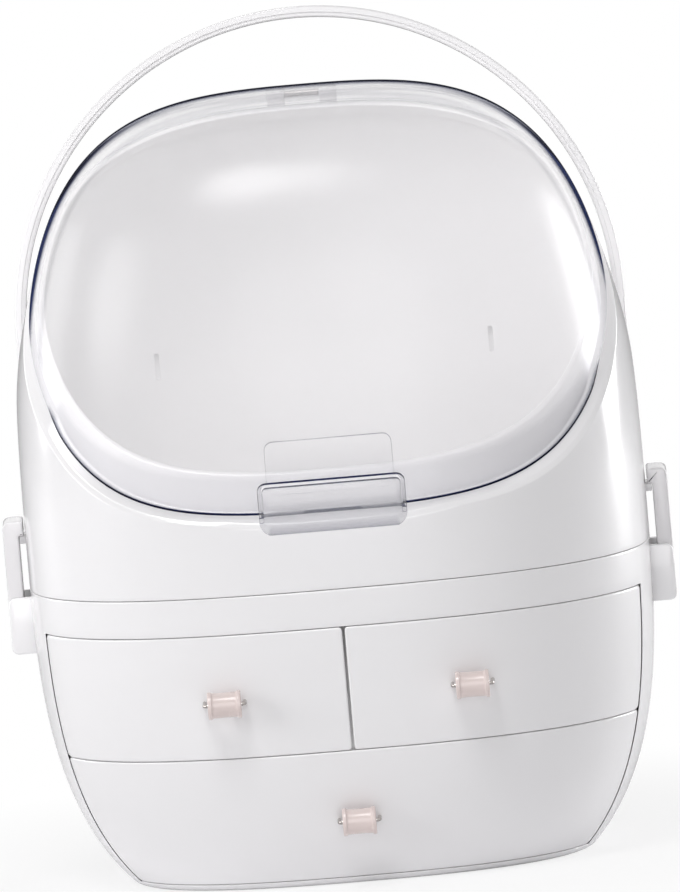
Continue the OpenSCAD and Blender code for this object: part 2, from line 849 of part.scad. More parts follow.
// The two headed studs that the handle turns on
module handle_studs() {
    color("white")
        for (i = [-1, 1]) {
            rod_x(stud_r, i > 0 ? stud_in : -bow_r - seat - lap, i > 0 ? bow_r + seat + lap : -stud_in,
                pivot_y, pivot_z);
            rod_x(stud_head_r, i > 0 ? bow_r + seat : -bow_r - seat - stud_head_t,
                i > 0 ? bow_r + seat + stud_head_t : -bow_r - seat, pivot_y, pivot_z);
        }
}

// A side latch in front view: barrel, strip and hook
module latch_outline() {
    top = latch_z + latch_h;
    translate([latch_x, latch_z])
        circle(latch_barrel_r);
    translate([latch_in, latch_z])
        square([latch_t, latch_h - latch_r]);
    translate([latch_in, top - latch_r - lap])
        square([latch_t - latch_r, latch_r + lap]);
    translate([latch_out - latch_r, top - latch_r])
        circle(latch_r);
    translate([half_w + clear, top - hook_h])
        square([latch_in + lap - half_w - clear, hook_h]);
}

module latch(side) {
    color("gainsboro")
        scale_x(side)
            difference() {
                across(-latch_w / 2, latch_w / 2)
                    latch_outline();
                rod_y(latch_pin_r + fit, latch_x, -far / 2, far / 2, latch_z);
            }
}

// The pin of a side latch
module latch_pin(side) {
    color("silver")
        rod_y(latch_pin_r, side * latch_x, seat - pin_end, pin_end - seat, latch_z);
}

module latch_left() { latch(-1); }
module latch_right() { latch(1); }
module latch_pin_left() { latch_pin(-1); }
module latch_pin_right() { latch_pin(1); }

lower_case();
drawer_frame();
drawer_left();
drawer_right();
drawer_wide();
pull_grip_left();
pull_grip_right();
pull_grip_wide();
pull_wire_left();
pull_wire_right();
pull_wire_wide();
pull_nuts_left();
pull_nuts_right();
pull_nuts_wide();
upper_case();
lid();
lid_hinge_pin();
handle();
handle_studs();
latch_left();
latch_right();
latch_pin_left();
latch_pin_right();
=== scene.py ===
"""Looks of an egg-shaped makeup organizer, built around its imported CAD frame.

Every new piece is a surface worked out with numpy from the same formulas as the solids: the cases, the
drawers and the lid follow one egg, whose plan is a superellipse and whose width at each height follows a
second one. Lengths are in metres. X runs to the right, Y to the back and Z up, and the front faces -Y.
"""

import math

import bmesh
import bpy
import numpy as np
from bpy.props import FloatProperty, FloatVectorProperty, PointerProperty
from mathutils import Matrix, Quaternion, Vector


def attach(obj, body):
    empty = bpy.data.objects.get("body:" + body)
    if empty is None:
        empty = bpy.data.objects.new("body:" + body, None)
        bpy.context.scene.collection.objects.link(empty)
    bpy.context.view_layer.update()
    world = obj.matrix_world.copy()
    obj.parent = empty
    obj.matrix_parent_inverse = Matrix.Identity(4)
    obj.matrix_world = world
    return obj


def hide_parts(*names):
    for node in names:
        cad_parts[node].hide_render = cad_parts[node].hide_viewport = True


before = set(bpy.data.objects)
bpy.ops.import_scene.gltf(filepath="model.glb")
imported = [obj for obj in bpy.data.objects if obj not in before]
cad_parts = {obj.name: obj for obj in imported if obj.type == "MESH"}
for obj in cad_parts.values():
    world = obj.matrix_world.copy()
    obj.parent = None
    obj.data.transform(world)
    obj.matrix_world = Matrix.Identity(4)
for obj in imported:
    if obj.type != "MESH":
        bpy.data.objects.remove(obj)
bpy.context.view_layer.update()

bl_info = {
    "name": "Makeup Organizer Finish",
    "version": (1, 0, 0),
    "blender": (4, 5, 0),
    "location": "3D View > Sidebar > Organizer",
    "description": "Cases, drawers, lid, handle and latches of an egg-shaped makeup organizer",
    "category": "Object",
}

WELD = 1e-6  # points closer than this are one point
IMAGE_W, IMAGE_H = 680, 892
SENSOR_W = 36  # millimetres
FLOOR_HALF, FLOOR_DROP = 30, 0.0002  # half the width of the floor, and how far it lies below the object
PLATE_ROOT, PLATE_CORNER = 0.006, 0.004  # reach of the lid's plate down behind the grip, and its corners
WEB_R, WEB_OFF = 0.0012, 0.0022  # half the thickness of the hinge's webs, and their distance from its axis
SKIN = 0.0008  # wall that is left behind the slots
LIP_H, LIP_FADE = 0.0017, 0.0004  # height of the painted dark line along the lower edge of the lid, and of its fade
GRIP_EDGE_PAINTED_DARK = 0.45  # how dark the painted dark lines on the edges of the grip and its plate are
LAMP_AIM = (0, 0, 0.17)
# Place and width of each lamp, whose power is a value in the panel
LAMPS = {"key": ((-1.8, -0.85, 0.8), 1.1), "front": ((0.1, -2.0, 0.55), 1.2),
         "top": ((-0.25, -0.85, 1.6), 0.6), "back": ((1.5, 0.7, 0.4), 0.9), "side": ((-1.5, 0.7, 0.5), 0.9)}
# Finishes of the CAD nodes that stay as they are
NODE_LOOKS = {"drawer_frame": "satin_white", "handle_studs": "gloss_white", "lid_hinge_pin": "bright_metal",
              "latch_pin_left": "bright_metal", "latch_pin_right": "bright_metal",
              "pull_nuts_left": "bright_metal", "pull_nuts_right": "bright_metal",
              "pull_nuts_wide": "bright_metal"}


# ---------------------------------------------------------------- values that a user would change


def size(name, description, default, low=0.0, high=0.5):
    """A length that the panel shows."""
    return FloatProperty(name=name, description=description, default=default, min=low, max=high,
                         unit="LENGTH", precision=4)


def colour(name, description, default):
    """A colour that the panel shows."""
    return FloatVectorProperty(name=name, description=description, default=default, size=3, min=0, max=1,
                               subtype="COLOR")


def plain(name, description, default, low=0.0, high=10.0):
    """A number without a unit."""
    return FloatProperty(name=name, description=description, default=default, min=low, max=high)


def turn(name, description, degrees):
    """An angle, stored in radians."""
    return FloatProperty(name=name, description=description, default=math.radians(degrees), subtype="ANGLE",
                         unit="ROTATION")


class EggSizes(bpy.types.PropertyGroup):
    """The egg that every shell follows."""

    body_w: size("Width", "Width of the body at its widest section", 0.280)
    body_d: size("Depth", "Depth of the body at its widest section", 0.210)
    base_w: size("Base width", "Width that the same outline has on the ground", 0.208)
    mid_z: size("Widest height", "Height of the widest section", 0.150)
    lid_top: size("Crown", "Height of the crown of the lid", 0.350)
    plan_n: plain("Plan squareness", "Squareness of the plan outline, where 2 is an ellipse", 2.6)
    low_n: plain("Low squareness", "Squareness of the side outline below the widest section", 3.0)
    high_n: plain("High squareness", "Squareness of the side outline above the widest section", 3.3)
    ledge_w: size("Ledge", "Width of the ledge that shows outside the lid", 0.004)
    ledge_z0: size("Ledge narrows", "Height at which the ledge starts to narrow", 0.215)
    ledge_z1: size("Ledge ends", "Height at which the lid and the case lie flush", 0.285)
    rim_front_z: size("Rim front", "Height of the rim of the compartment at the front", 0.170)
    rim_angle: turn("Rim angle", "Angle at which the rim rises to the back", 46)
    rim_dip: size("Rim dip", "How far the rim dips below that line near the front", 0.005)
    rim_dip_len: size("Dip length", "Length of that dip from front to back", 0.060)
    neck_h: size("Neck", "Height of the neck that stands inside the lid", 0.017)
    neck_back_h: size("Neck at the back", "Height of the neck beside the hinge", 0.0025)
    step_y: size("Step place", "Place of the step in the edge of the lid, in front of the middle", 0.057)
    step_len: size("Step length", "Length of that step from front to back", 0.009)
    step_h: size("Step height", "How much higher the edge of the lid runs behind the step", 0.0026)


class CaseSizes(bpy.types.PropertyGroup):
    """The lower case, the upper case and what is moulded on them."""

    wall: size("Wall", "Wall of the two cases", 0.0026)
    floor_t: size("Floor", "Thickness of the floor of each case", 0.003)
    seam_z: size("Seam", "Height of the seam between the two cases", 0.136)
    bay_top: size("Opening top", "Height of the top of the drawer opening", 0.1192)
    frame_w: size("Frame", "Width of the frame beside the drawer fronts", 0.006)
    deck_t: size("Deck", "Thickness of the deck over the drawers", 0.0024)
    seam_gap: size("Seam gap", "Height of the shadow gap between the two cases", 0.00028)
    edge_r: size("Edge", "Rounding of the moulded edges", 0.0005)
    base_r: size("Base edge", "Rounding of the edge that stands on the table", 0.0012)
    rim_edge: size("Rim chamfer", "Chamfer on the outer edge of the rim", 0.0013)
    neck_out: size("Neck outside", "How far the outside of the neck lies inside the egg", 0.0070)
    neck_in: size("Neck inside", "How far the inside of the neck lies inside the egg", 0.0090)
    slot_x: size("Slot place", "Distance of the slots in the back wall from the middle", 0.076)
    slot_z: size("Slot height", "Height of the middle of the slots", 0.219)
    slot_h: size("Slot length", "Length of the slots", 0.012)
    slot_w: size("Slot width", "Width of the slots", 0.0022)


class LidSizes(bpy.types.PropertyGroup):
    """The clear lid and its hinge."""

    lid_t: size("Wall", "Wall of the clear lid", 0.0024)
    gap: size("Gap", "Gap under the edge of the lid", 0.0006)
    grip_w: size("Grip width", "Width of the finger grip", 0.066)
    grip_h: size("Grip height", "Height of the finger grip", 0.0225)
    grip_drop: size("Grip drop", "How far the grip hangs below the rim", 0.0065)
    grip_out: size("Grip reach", "How far the grip stands out from the case", 0.008)
    grip_r: size("Grip corner", "Corner radius of the grip", 0.005)
    grip_wall: size("Grip wall", "Wall of the grip", 0.002)
    plate_w: size("Plate width", "Width of the plate above the grip", 0.057)
    plate_h: size("Plate height", "Height of the plate above the grip", 0.018)
    plate_out: size("Plate reach", "How far the plate stands out from the lid", 0.0012)
    hinge_y: size("Hinge axis Y", "Place of the hinge axis from front to back", 0.0633992)
    hinge_z: size("Hinge axis Z", "Height of the hinge axis", 0.34112)
    rim_back_y: size("Rim back Y", "Place of the rim at the hinge", 0.0609521)
    rim_back_z: size("Rim back Z", "Height of the rim at the hinge", 0.337706)
    barrel_r: size("Barrel", "Radius of the hinge barrels", 0.0034)
    barrel_mid: size("Middle barrel", "Half the width of the middle barrel", 0.0075)
    barrel_side: size("Outer barrel", "Width of each outer barrel", 0.008)
    seat: size("Seat", "Clearance of a piece that sits in another", 0.0003)
    # Width of the painted dark outline of the lid, a painted dark reflection where it turns edge-on
    painted_outline_w: size("Outline", "Width of the dark outline of the clear lid", 0.0015)
    # Painted shade on the strip of the lid over the neck, where the lid's wall shades it
    neck_painted_shade: plain("Band", "Darkness of the strip of the lid that goes over the neck", 0.12)
    # Painted dark outline of the grip and its plate starts below this cosine
    grip_line: plain("Grip outline", "Cosine below which the grip and its plate look dark", 0.22)


class HandleSizes(bpy.types.PropertyGroup):
    """The bow handle."""

    bow_gap: size("Arm gap", "Gap between the arms and the case beside them", 0.0008)
    band_t: size("Band", "Thickness of the band", 0.005)
    band_w: size("Band width", "Width of the band from front to back", 0.014)
    bow_rise: size("Rise", "Height of the underside of the bow over the crown of the lid", 0.0232)
    tilt: turn("Lean", "Lean of the handle at rest", 7.6)
    pivot_y: size("Pivot Y", "Distance of the pivots behind the middle", 0.058)
    pivot_z: size("Pivot Z", "Height of the pivots", 0.175)
    end_r: size("Pivot end", "Radius of the round ends of the arms", 0.009)


class LatchSizes(bpy.types.PropertyGroup):
    """The side latches."""

    pin_z: size("Pin height", "Height of the latch pins", 0.1125)
    height: size("Latch height", "Distance from the pins to the tops of the latches", 0.054)
    strip_t: size("Strip", "Thickness of the latch strip", 0.007)
    gap: size("Gap", "Gap between the case and the latch strip", 0.003)
    width: size("Width", "Width of the latch", 0.022)
    barrel_r: size("Barrel", "Radius of the barrel at the foot", 0.0044)
    ear_t: size("Ear", "Thickness of the ears that hold the pin", 0.004)
    ear_gap: size("Ear top", "Distance of the tops of the ears below the seam", 0.0035)
    ear_drop: size("Ear foot", "How far the ears reach below the pins", 0.0055)
    ear_r: size("Ear corner", "Corner radius of the ears", 0.003)
    top_r: size("Top", "Rounding of the top of the latch", 0.003)
    catch_h: size("Catch", "Height of the catch under the hook", 0.0035)
    hook_h: size("Hook", "Height of the hook", 0.0066)


class DrawerSizes(bpy.types.PropertyGroup):
    """The drawers and their trays."""

    seam_z: size("Drawer joint", "Height of the joint between the upper drawers and the wide one", 0.0628)
    front_t: size("Front", "Thickness of the drawer fronts", 0.003)
    gap: size("Gap", "Gap around each front", 0.0003)
    mid_gap: size("Middle gap", "Half the gap between the two upper fronts", 0.0006)
    front_edge: size("Edge", "Rounding of the fronts' edges", 0.0007)
    front_corner: size("Corner", "Corner radius of the fronts", 0.0016)
    tray_t: size("Tray wall", "Wall of the trays", 0.002)
    tray_gap: size("Tray gap", "Gap between a tray and what it slides in", 0.0005)
    tray_half_w: size("Trays' half width", "Half the width of the two upper trays together", 0.111)
    tray_back: size("Tray back", "Place of the back of the upper trays", 0.061)
    tray_low: size("Tray drop", "How far the upper trays stay below the deck", 0.014)
    wide_floor_w: size("Wide floor", "Half the width of the floor of the wide tray", 0.088)
    wide_top_w: size("Wide top", "Half the width of the top of the wide tray", 0.106)
    wide_floor_back: size("Wide floor back", "Place of the back of the wide tray at its floor", 0.038)
    wide_top_back: size("Wide top back", "Place of the back of the wide tray at its top", 0.054)
    shelf_t: size("Shelf", "Thickness of the shelf and the divider", 0.0024)


class PullSizes(bpy.types.PropertyGroup):
    """The roller pulls."""

    upper_x: size("Upper pulls", "Distance of the upper pulls from the middle", 0.0555)
    upper_z: size("Upper height", "Height of the upper pulls", 0.089)
    wide_z: size("Wide height", "Height of the pull of the wide drawer", 0.031)
    length: size("Length", "Length of the roller grip", 0.015)
    radius: size("Radius", "Radius of the roller grip", 0.00625)
    wire_r: size("Wire", "Radius of the wire", 0.0009)
    wire_gap: size("Wire gap", "Gap between the roller grip and the leg of the wire beside it", 0.0006)
    reach: size("Reach", "How far the roller axis stands in front of the drawer", 0.009)


class Finishes(bpy.types.PropertyGroup):
    """The colours and gloss of the parts."""

    shell: colour("Cases", "Gloss white of the cases and the fronts", (0.90, 0.89, 0.902))
    # Painted light: a lighter white than the cases' own, which brightens the compartment; the shelf and the
    # divider share it
    inside: colour("Inside", "White of the compartment, the shelf and the divider", (0.975, 0.968, 0.974))
    roller: colour("Rollers", "Pale pink of the roller grips", (0.78, 0.665, 0.64))
    metal: colour("Metal", "Bright metal of the wires and pins", (0.46, 0.43, 0.41))
    latch: colour("Latches", "White of the latches", (0.80, 0.785, 0.80))
    clear: colour("Lid", "Tint of the clear lid", (0.992, 0.99, 0.993))
    # Painted dark reflection: dark blue of the lid's painted outline and edge lines
    lid_edge_painted_dark: colour("Lid edge", "Dark blue of the lid seen edge-on", (0.02, 0.03, 0.10))


class StageSettings(bpy.types.PropertyGroup):
    """The camera, the lamps and the floor."""

    distance: size("Distance", "Distance of the camera", 10.0, high=100)
    azimuth: turn("Azimuth", "Angle of the camera round the object", 0.6)
    elevation: turn("Elevation", "Angle of the camera above the horizon", 7.0)
    roll: turn("Roll", "Roll of the camera", -4.9)
    aim: FloatVectorProperty(name="Aim", description="Point in the middle of the view",
                             default=(0.0045, 0.0, 0.1872), subtype="TRANSLATION", unit="LENGTH")
    view_w: size("View width", "Width of the view at the aim", 0.306)
    key: plain("Key", "Power of the soft lamp at the left, in watts", 13.5, high=500)
    front: plain("Front", "Power of the soft lamp in front, in watts", 8.0, high=500)
    top: plain("Top", "Power of the lamp high in front, in watts", 9.5, high=500)
    back: plain("Back", "Power of the soft lamp behind the right side, in watts", 18.0, high=500)
    side: plain("Side", "Power of the soft lamp behind the left side, in watts", 7.0, high=500)
    sky: plain("Sky", "Light from all around", 0.13)


# ---------------------------------------------------------------- the egg


def spow(value, power):
    """A power that keeps the sign."""
    return np.sign(value) * np.abs(value) ** power


def smooth(t):
    """A smooth step from 0 to 1."""
    t = np.clip(t, 0, 1)
    return t * t * (3 - 2 * t)


class Egg:
    """The surface that lies off outside the body: plan angle, height and off give a point."""

    def __init__(self, s):
        self.s = s
        self.half_w, self.half_d = s.body_w / 2, s.body_d / 2
        self.low_r = s.mid_z / (1 - (s.base_w / s.body_w) ** s.low_n) ** (1 / s.low_n)
        self.high_r = s.lid_top + s.ledge_w - s.mid_z
        self.rim_y = s.ledge_w - self.half_d
        # Plan angles against the length along the plan outline, from the front round to the front again
        self.fine = np.linspace(-math.pi / 2, 3 * math.pi / 2, 16001)
        line = self.at_share(self.fine, 0.0, 0.0, 1.0)
        self.run = np.concatenate([[0], np.cumsum(np.linalg.norm(np.diff(line, axis=0), axis=1))])

    def share(self, z, off=0.0):
        """Share of the full width at height z: the n-th root of 1 - (distance from the widest / reach)^n."""
        s = self.s

        def half(way, reach, n):
            return np.maximum(1 - (np.maximum(way, 0) / (reach + off)) ** n, 0) ** (1 / n)

        low, high = half(s.mid_z - z, self.low_r, s.low_n), half(z - s.mid_z, self.high_r, s.high_n)
        return np.where(z < s.mid_z, low, high)

    def at_share(self, a, z, off, share):
        """x = half width * share * cos(a)^(2/n), y = half depth * share * sin(a)^(2/n)."""
        e = 2 / self.s.plan_n
        x = (self.half_w + off) * share * spow(np.cos(a), e)
        y = (self.half_d + off) * share * spow(np.sin(a), e)
        return np.stack(np.broadcast_arrays(x, y, z), -1)

    def point(self, a, z, off=0.0):
        return self.at_share(a, z, off, self.share(z, off))

    def front(self, x, z, off=0.0):
        """The point of the front surface at a given x and z."""
        s, n = self.share(z, off), self.s.plan_n
        side = np.clip(np.abs(x) / ((self.half_w + off) * s), 0, 1)
        return np.stack(np.broadcast_arrays(x, -(self.half_d + off) * s * (1 - side ** n) ** (1 / n), z), -1)

    def angle_at(self, x, z, off=0.0):
        """Plan angle, on the front right, of the surface at a given x: -acos((x / half width)^(n/2))."""
        side = np.clip(x / ((self.half_w + off) * self.share(z, off)), 0, 1)
        return -np.arccos(side ** (self.s.plan_n / 2))

    def spread(self, start, end, t):
        """Plan angles at shares t of the way round from start to end, evenly along the outline."""
        r0, r1 = np.interp(start, self.fine, self.run), np.interp(end, self.fine, self.run)
        return np.interp(r0 + (r1 - r0) * t, self.run, self.fine)

    def side(self, y, z):
        """Half the width of the case at height z, a distance y from the middle."""
        s, n = self.share(z), self.s.plan_n
        return self.half_w * s * (1 - (np.abs(y) / (self.half_d * s)) ** n) ** (1 / n)

    def bow(self, h):
        """Inner radius of the bow and length of its straight arms."""
        inner = float(self.side(h.pivot_y - h.end_r, h.pivot_z)) + h.bow_gap
        return inner, (self.s.lid_top + h.bow_rise - h.pivot_z) / math.cos(h.tilt) - inner

    def columns(self, n):
        """n + 1 plan angles all the way round, evenly along the outline."""
        return self.spread(-math.pi / 2, 3 * math.pi / 2, np.linspace(0, 1, n + 1))

    def case_off(self, z):
        """The case wall draws in to the lid where the ledge narrows."""
        s = self.s
        return -s.ledge_w * smooth((z - s.ledge_z0) / (s.ledge_z1 - s.ledge_z0))

    def rim(self, y):
        """Height of the rim: a slanting line, less a soft dip t (1 - t)^2 near the front."""
        s = self.s
        t = np.clip((y - self.rim_y) / s.rim_dip_len, 0, 1)
        return s.rim_front_z + math.tan(s.rim_angle) * (y - self.rim_y) - s.rim_dip * 6.75 * t * (1 - t) ** 2

    def step(self, y):
        """How much the lid's seat rises above the rim: nothing in front, and a smooth step at each side."""
        s = self.s
        return s.step_h * smooth((y + s.step_y) / s.step_len + 0.5)

    def neck_rise(self, y):
        """Height of the neck above the rim."""
        s = self.s
        low = smooth((y + self.half_d / 10) / (2 * self.half_d / 3))
        return s.neck_back_h + (s.neck_h - s.neck_back_h) * (1 - low)

    def meet(self, a, off, up):
        """Height at which the surface off(z) crosses the rim raised by up(y), found by halving."""
        low = np.full(np.shape(a), self.s.mid_z)
        high = np.full(np.shape(a), self.s.lid_top - 0.008)
        for _ in range(40):
            mid = (low + high) / 2
            p = self.point(a, mid, off(mid))
            below = mid < self.rim(p[..., 1]) + up(p[..., 1])
            low, high = np.where(below, mid, low), np.where(below, high, mid)
        return (low + high) / 2


# ---------------------------------------------------------------- meshes from grids


def quarter(r, steps=5):
    """Pairs (in from the edge, down from the face) along a quarter round of radius r, from face to side."""
    th = np.linspace(0, math.pi / 2, steps)
    return r * (1 - np.sin(th)), r * (1 - np.cos(th))


def round_corners(points, radii, steps=5, most=0.48):
    """Replaces the corners C of a closed outline, or of the columns in a stack of rows, by the curve
    P(1-t)^2 + 2Ct(1-t) + Qt^2. Its ends P and Q lie a radius from C, at most the share most of an edge."""
    points = np.asarray(points, float)
    t = np.linspace(0, 1, steps + 1).reshape(-1, *[1] * (points.ndim - 1))
    out = []
    for i, (corner, r) in enumerate(zip(points, np.broadcast_to(radii, len(points)))):
        if r <= 0:
            out.append(corner[None])
            continue
        ends = []
        for v in (points[i - 1] - corner, points[(i + 1) % len(points)] - corner):
            length = np.maximum(np.linalg.norm(v, axis=-1, keepdims=True), 1e-9)
            ends.append(corner + v / length * np.minimum(r, most * length))
        out.append(ends[0] * (1 - t) ** 2 + 2 * corner * t * (1 - t) + ends[1] * t * t)
    return np.concatenate(out)


def corner_arc(cx, cy, r, start, n=7):
    """A quarter circle from the angle start, in degrees, counter-clockwise."""
    a = np.radians(np.linspace(start, start + 90, n))
    return np.stack([cx + r * np.cos(a), cy + r * np.sin(a)], 1)


def box_outline(x0, x1, z0, z1, r, n=7):
    """A rectangle with round corners, counter-clockwise."""
    if r <= 0:
        return np.array([(x0, z0), (x1, z0), (x1, z1), (x0, z1)], float)
    return np.concatenate([corner_arc(x, z, r, start, n) for x, z, start in (
        (x1 - r, z0 + r, -90), (x1 - r, z1 - r, 0), (x0 + r, z1 - r, 90), (x0 + r, z0 + r, 180))])


def circle(cx, cz, r, n=48):
    """A closed ring of points, counter-clockwise."""
    a = np.arange(n) * 2 * math.pi / n
    return np.stack([cx + r * np.cos(a), cz + r * np.sin(a)], 1)


def inset(outline, d):
    """The outline moved inwards by d along its own normals."""
    along = np.roll(outline, -1, 0) - np.roll(outline, 1, 0)
    normal = np.stack([along[:, 1], -along[:, 0]], 1)
    normal /= np.linalg.norm(normal, axis=1, keepdims=True)
    x, z = outline.T
    if np.sum(x * np.roll(z, -1) - np.roll(x, -1) * z) < 0:
        normal = -normal
    return outline - normal * d


def level(outline, z):
    """An outline of pairs at one height, or at a height for each of its points."""
    return np.insert(outline, 2, z, axis=1)


def closed(loops):
    """A grid whose rows are closed loops: the first point is repeated at the end."""
    return np.concatenate([loops, loops[:, :1]], axis=1)


def bar(outline, axis, a0, a1, r=0.0004, steps=4):
    """A bar: an outline carried along an axis from a0 to a1, its end edges rounded by r, with flat caps."""
    a0, a1 = min(a0, a1), max(a0, a1)
    ins, down = quarter(r, steps)
    insets = np.concatenate([ins, ins[::-1]])
    places = np.concatenate([a0 + down, a1 - down[::-1]])
    order = {"X": [2, 0, 1], "Y": [0, 2, 1], "Z": [0, 1, 2]}[axis]
    loops = np.stack([level(inset(outline, d), a)[:, order] for d, a in zip(insets, places)])
    return [closed(loops)], [loops[0], loops[-1]]


def piece(name, grids, caps=(), sharp=35.0):
    """One object from grids of points, whose edges join where their points fall together, and flat caps."""
    points, faces, base = [], [], 0
    for g in grids:
        n, m = g.shape[:2]
        i = base + np.arange(n * m).reshape(n, m)
        faces += np.stack([i[:-1, :-1], i[1:, :-1], i[1:, 1:], i[:-1, 1:]], -1).reshape(-1, 4).tolist()
        points.append(g.reshape(-1, 3))
        base += n * m
    for loop in caps:
        faces.append(list(range(base, base + len(loop))))
        points.append(loop)
        base += len(loop)
    mesh = bpy.data.meshes.new(name)
    mesh.from_pydata(np.concatenate(points).tolist(), [], faces)
    bm = bmesh.new()
    bm.from_mesh(mesh)
    bmesh.ops.remove_doubles(bm, verts=bm.verts, dist=WELD)
    bmesh.ops.recalc_face_normals(bm, faces=bm.faces)
    bm.to_mesh(mesh)
    bm.free()
    shade(mesh, sharp)
    obj = bpy.data.objects.new(name, mesh)
    bpy.context.scene.collection.objects.link(obj)
    return obj


def shade(mesh, sharp):
    """Smooth shading with edges past the angle kept sharp."""
    mesh.shade_smooth()
    mesh.set_sharp_from_angle(angle=math.radians(sharp))


def combine(obj, tool, operation, sharp=35.0):
    """Unites obj with tool or cuts tool from it, and removes tool."""
    modifier = obj.modifiers.new(operation.title(), "BOOLEAN")
    modifier.operation, modifier.solver, modifier.object = operation, "MANIFOLD", tool
    bpy.context.view_layer.update()
    mesh = bpy.data.meshes.new_from_object(obj.evaluated_get(bpy.context.evaluated_depsgraph_get()))
    obj.modifiers.clear()
    obj.data = mesh
    bpy.data.objects.remove(tool)
    shade(mesh, sharp)
    return obj


def dress(obj, body, material, nodes=()):
    """Gives a finished piece its material, its body and the CAD nodes that it stands for."""
    obj.data.materials.clear()
    obj.data.materials.append(bpy.data.materials[material])
    if nodes:
        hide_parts(*nodes)
    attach(obj, body)
    return obj


def to_pole(loop, pole, share=0.55):
    """Two rows that close a loop on a pole in its middle."""
    return np.stack([pole + (loop - pole) * k for k in (share, 0.0)])


def read(items, key):
    """A vector of each vertex or face of a mesh."""
    values = np.zeros(len(items) * 3)
    items.foreach_get(key, values)
    return values.reshape(-1, 3)


# ---------------------------------------------------------------- cases


def lower_case(egg, c):
    """The lower cup. Its columns run straight up beside the drawer opening: those in front stand at equal
    shares of the opening's half width, the others are spread evenly round the back. The opening's edge is
    a ring of points that turns from the outside through a quarter round to the inside."""
    f, n_front, n_back, n_side = c.edge_r, 56, 150, 40
    across = np.linspace(-1, 1, n_front + 1)
    around = np.linspace(0, 1, n_back + 1)

    def edge(z, d):
        return egg.half_w * egg.share(z) - c.frame_w + d

    def back(off, z, d):
        off, z, d = (np.asarray(v, float)[:, None] for v in np.broadcast_arrays(off, z, d))
        a = egg.angle_at(edge(z, d), z, off)
        return egg.point(egg.spread(a, math.pi - a, around), z, off)

    def full(off, z, d):
        off, z, d = np.broadcast_arrays(off, z, d)
        o, h, w = (np.asarray(v, float)[:, None] for v in (off, z, d))
        return np.concatenate([egg.front(across * edge(h, w), h, o), back(off, z, d)[:, 1:]], axis=1)

    ins, down = quarter(c.base_r)
    low = full(np.concatenate([-ins, [0, 0]]),
               np.concatenate([down, [c.base_r * 1.4, c.floor_t - f]]), f)
    ins, down = quarter(f, 4)
    z_out = np.concatenate([np.linspace(c.bay_top + f, c.seam_z - 2 * f, 6), c.seam_z - down[::-1]])
    z_in = np.concatenate([c.seam_z - down, np.linspace(c.seam_z - 2 * f, c.bay_top, 6)])
    off_out = np.concatenate([np.zeros(6), -ins[::-1]])
    off_in = np.concatenate([ins - c.wall, np.full(6, -c.wall)])
    high = full(np.concatenate([off_out, off_in]), np.concatenate([z_out, z_in]),
                np.concatenate([np.full(len(z_out), f), np.linspace(f, 0, len(z_in))]))
    outer = back(0.0, np.linspace(c.floor_t - f, c.bay_top + f, n_side + 1), f)
    inner = back(-c.wall, np.linspace(c.floor_t, c.bay_top, n_side + 1), 0.0)
    ins, down = quarter(f)
    rows = []
    for d, off in [*zip(down[::-1], -ins[::-1]), (0.0, -c.wall * 0.6), (0.0, -c.wall)]:
        z = np.linspace(c.floor_t - d, c.bay_top + d, n_side + 1)
        rows.append(np.concatenate([
            egg.front(across * edge(z[0], d), z[0], off), egg.front(edge(z, d), z, off)[1:],
            egg.front(-across * edge(z[-1], d), z[-1], off)[1:], egg.front(-edge(z, d), z, off)[::-1][1:],
        ]))
    floor = full([-c.wall], [c.floor_t], [0.0])[0]
    return [np.concatenate([to_pole(low[0], (0, 0, 0))[::-1], low]), high, outer, inner, np.stack(rows),
            np.concatenate([floor[None], to_pole(floor, (0, 0, c.floor_t))])]


def deck(egg, c):
    """The plate over the drawers: the plan outline carried up by its thickness."""
    a = egg.columns(160)
    z = np.array([0.0002, c.deck_t])[:, None] + c.bay_top
    side = egg.point(a, z, -0.7 * c.wall)
    under, over = (to_pole(side[k], (0, 0, z[k, 0])) for k in (0, 1))
    return [np.concatenate([under[::-1], side, over])]


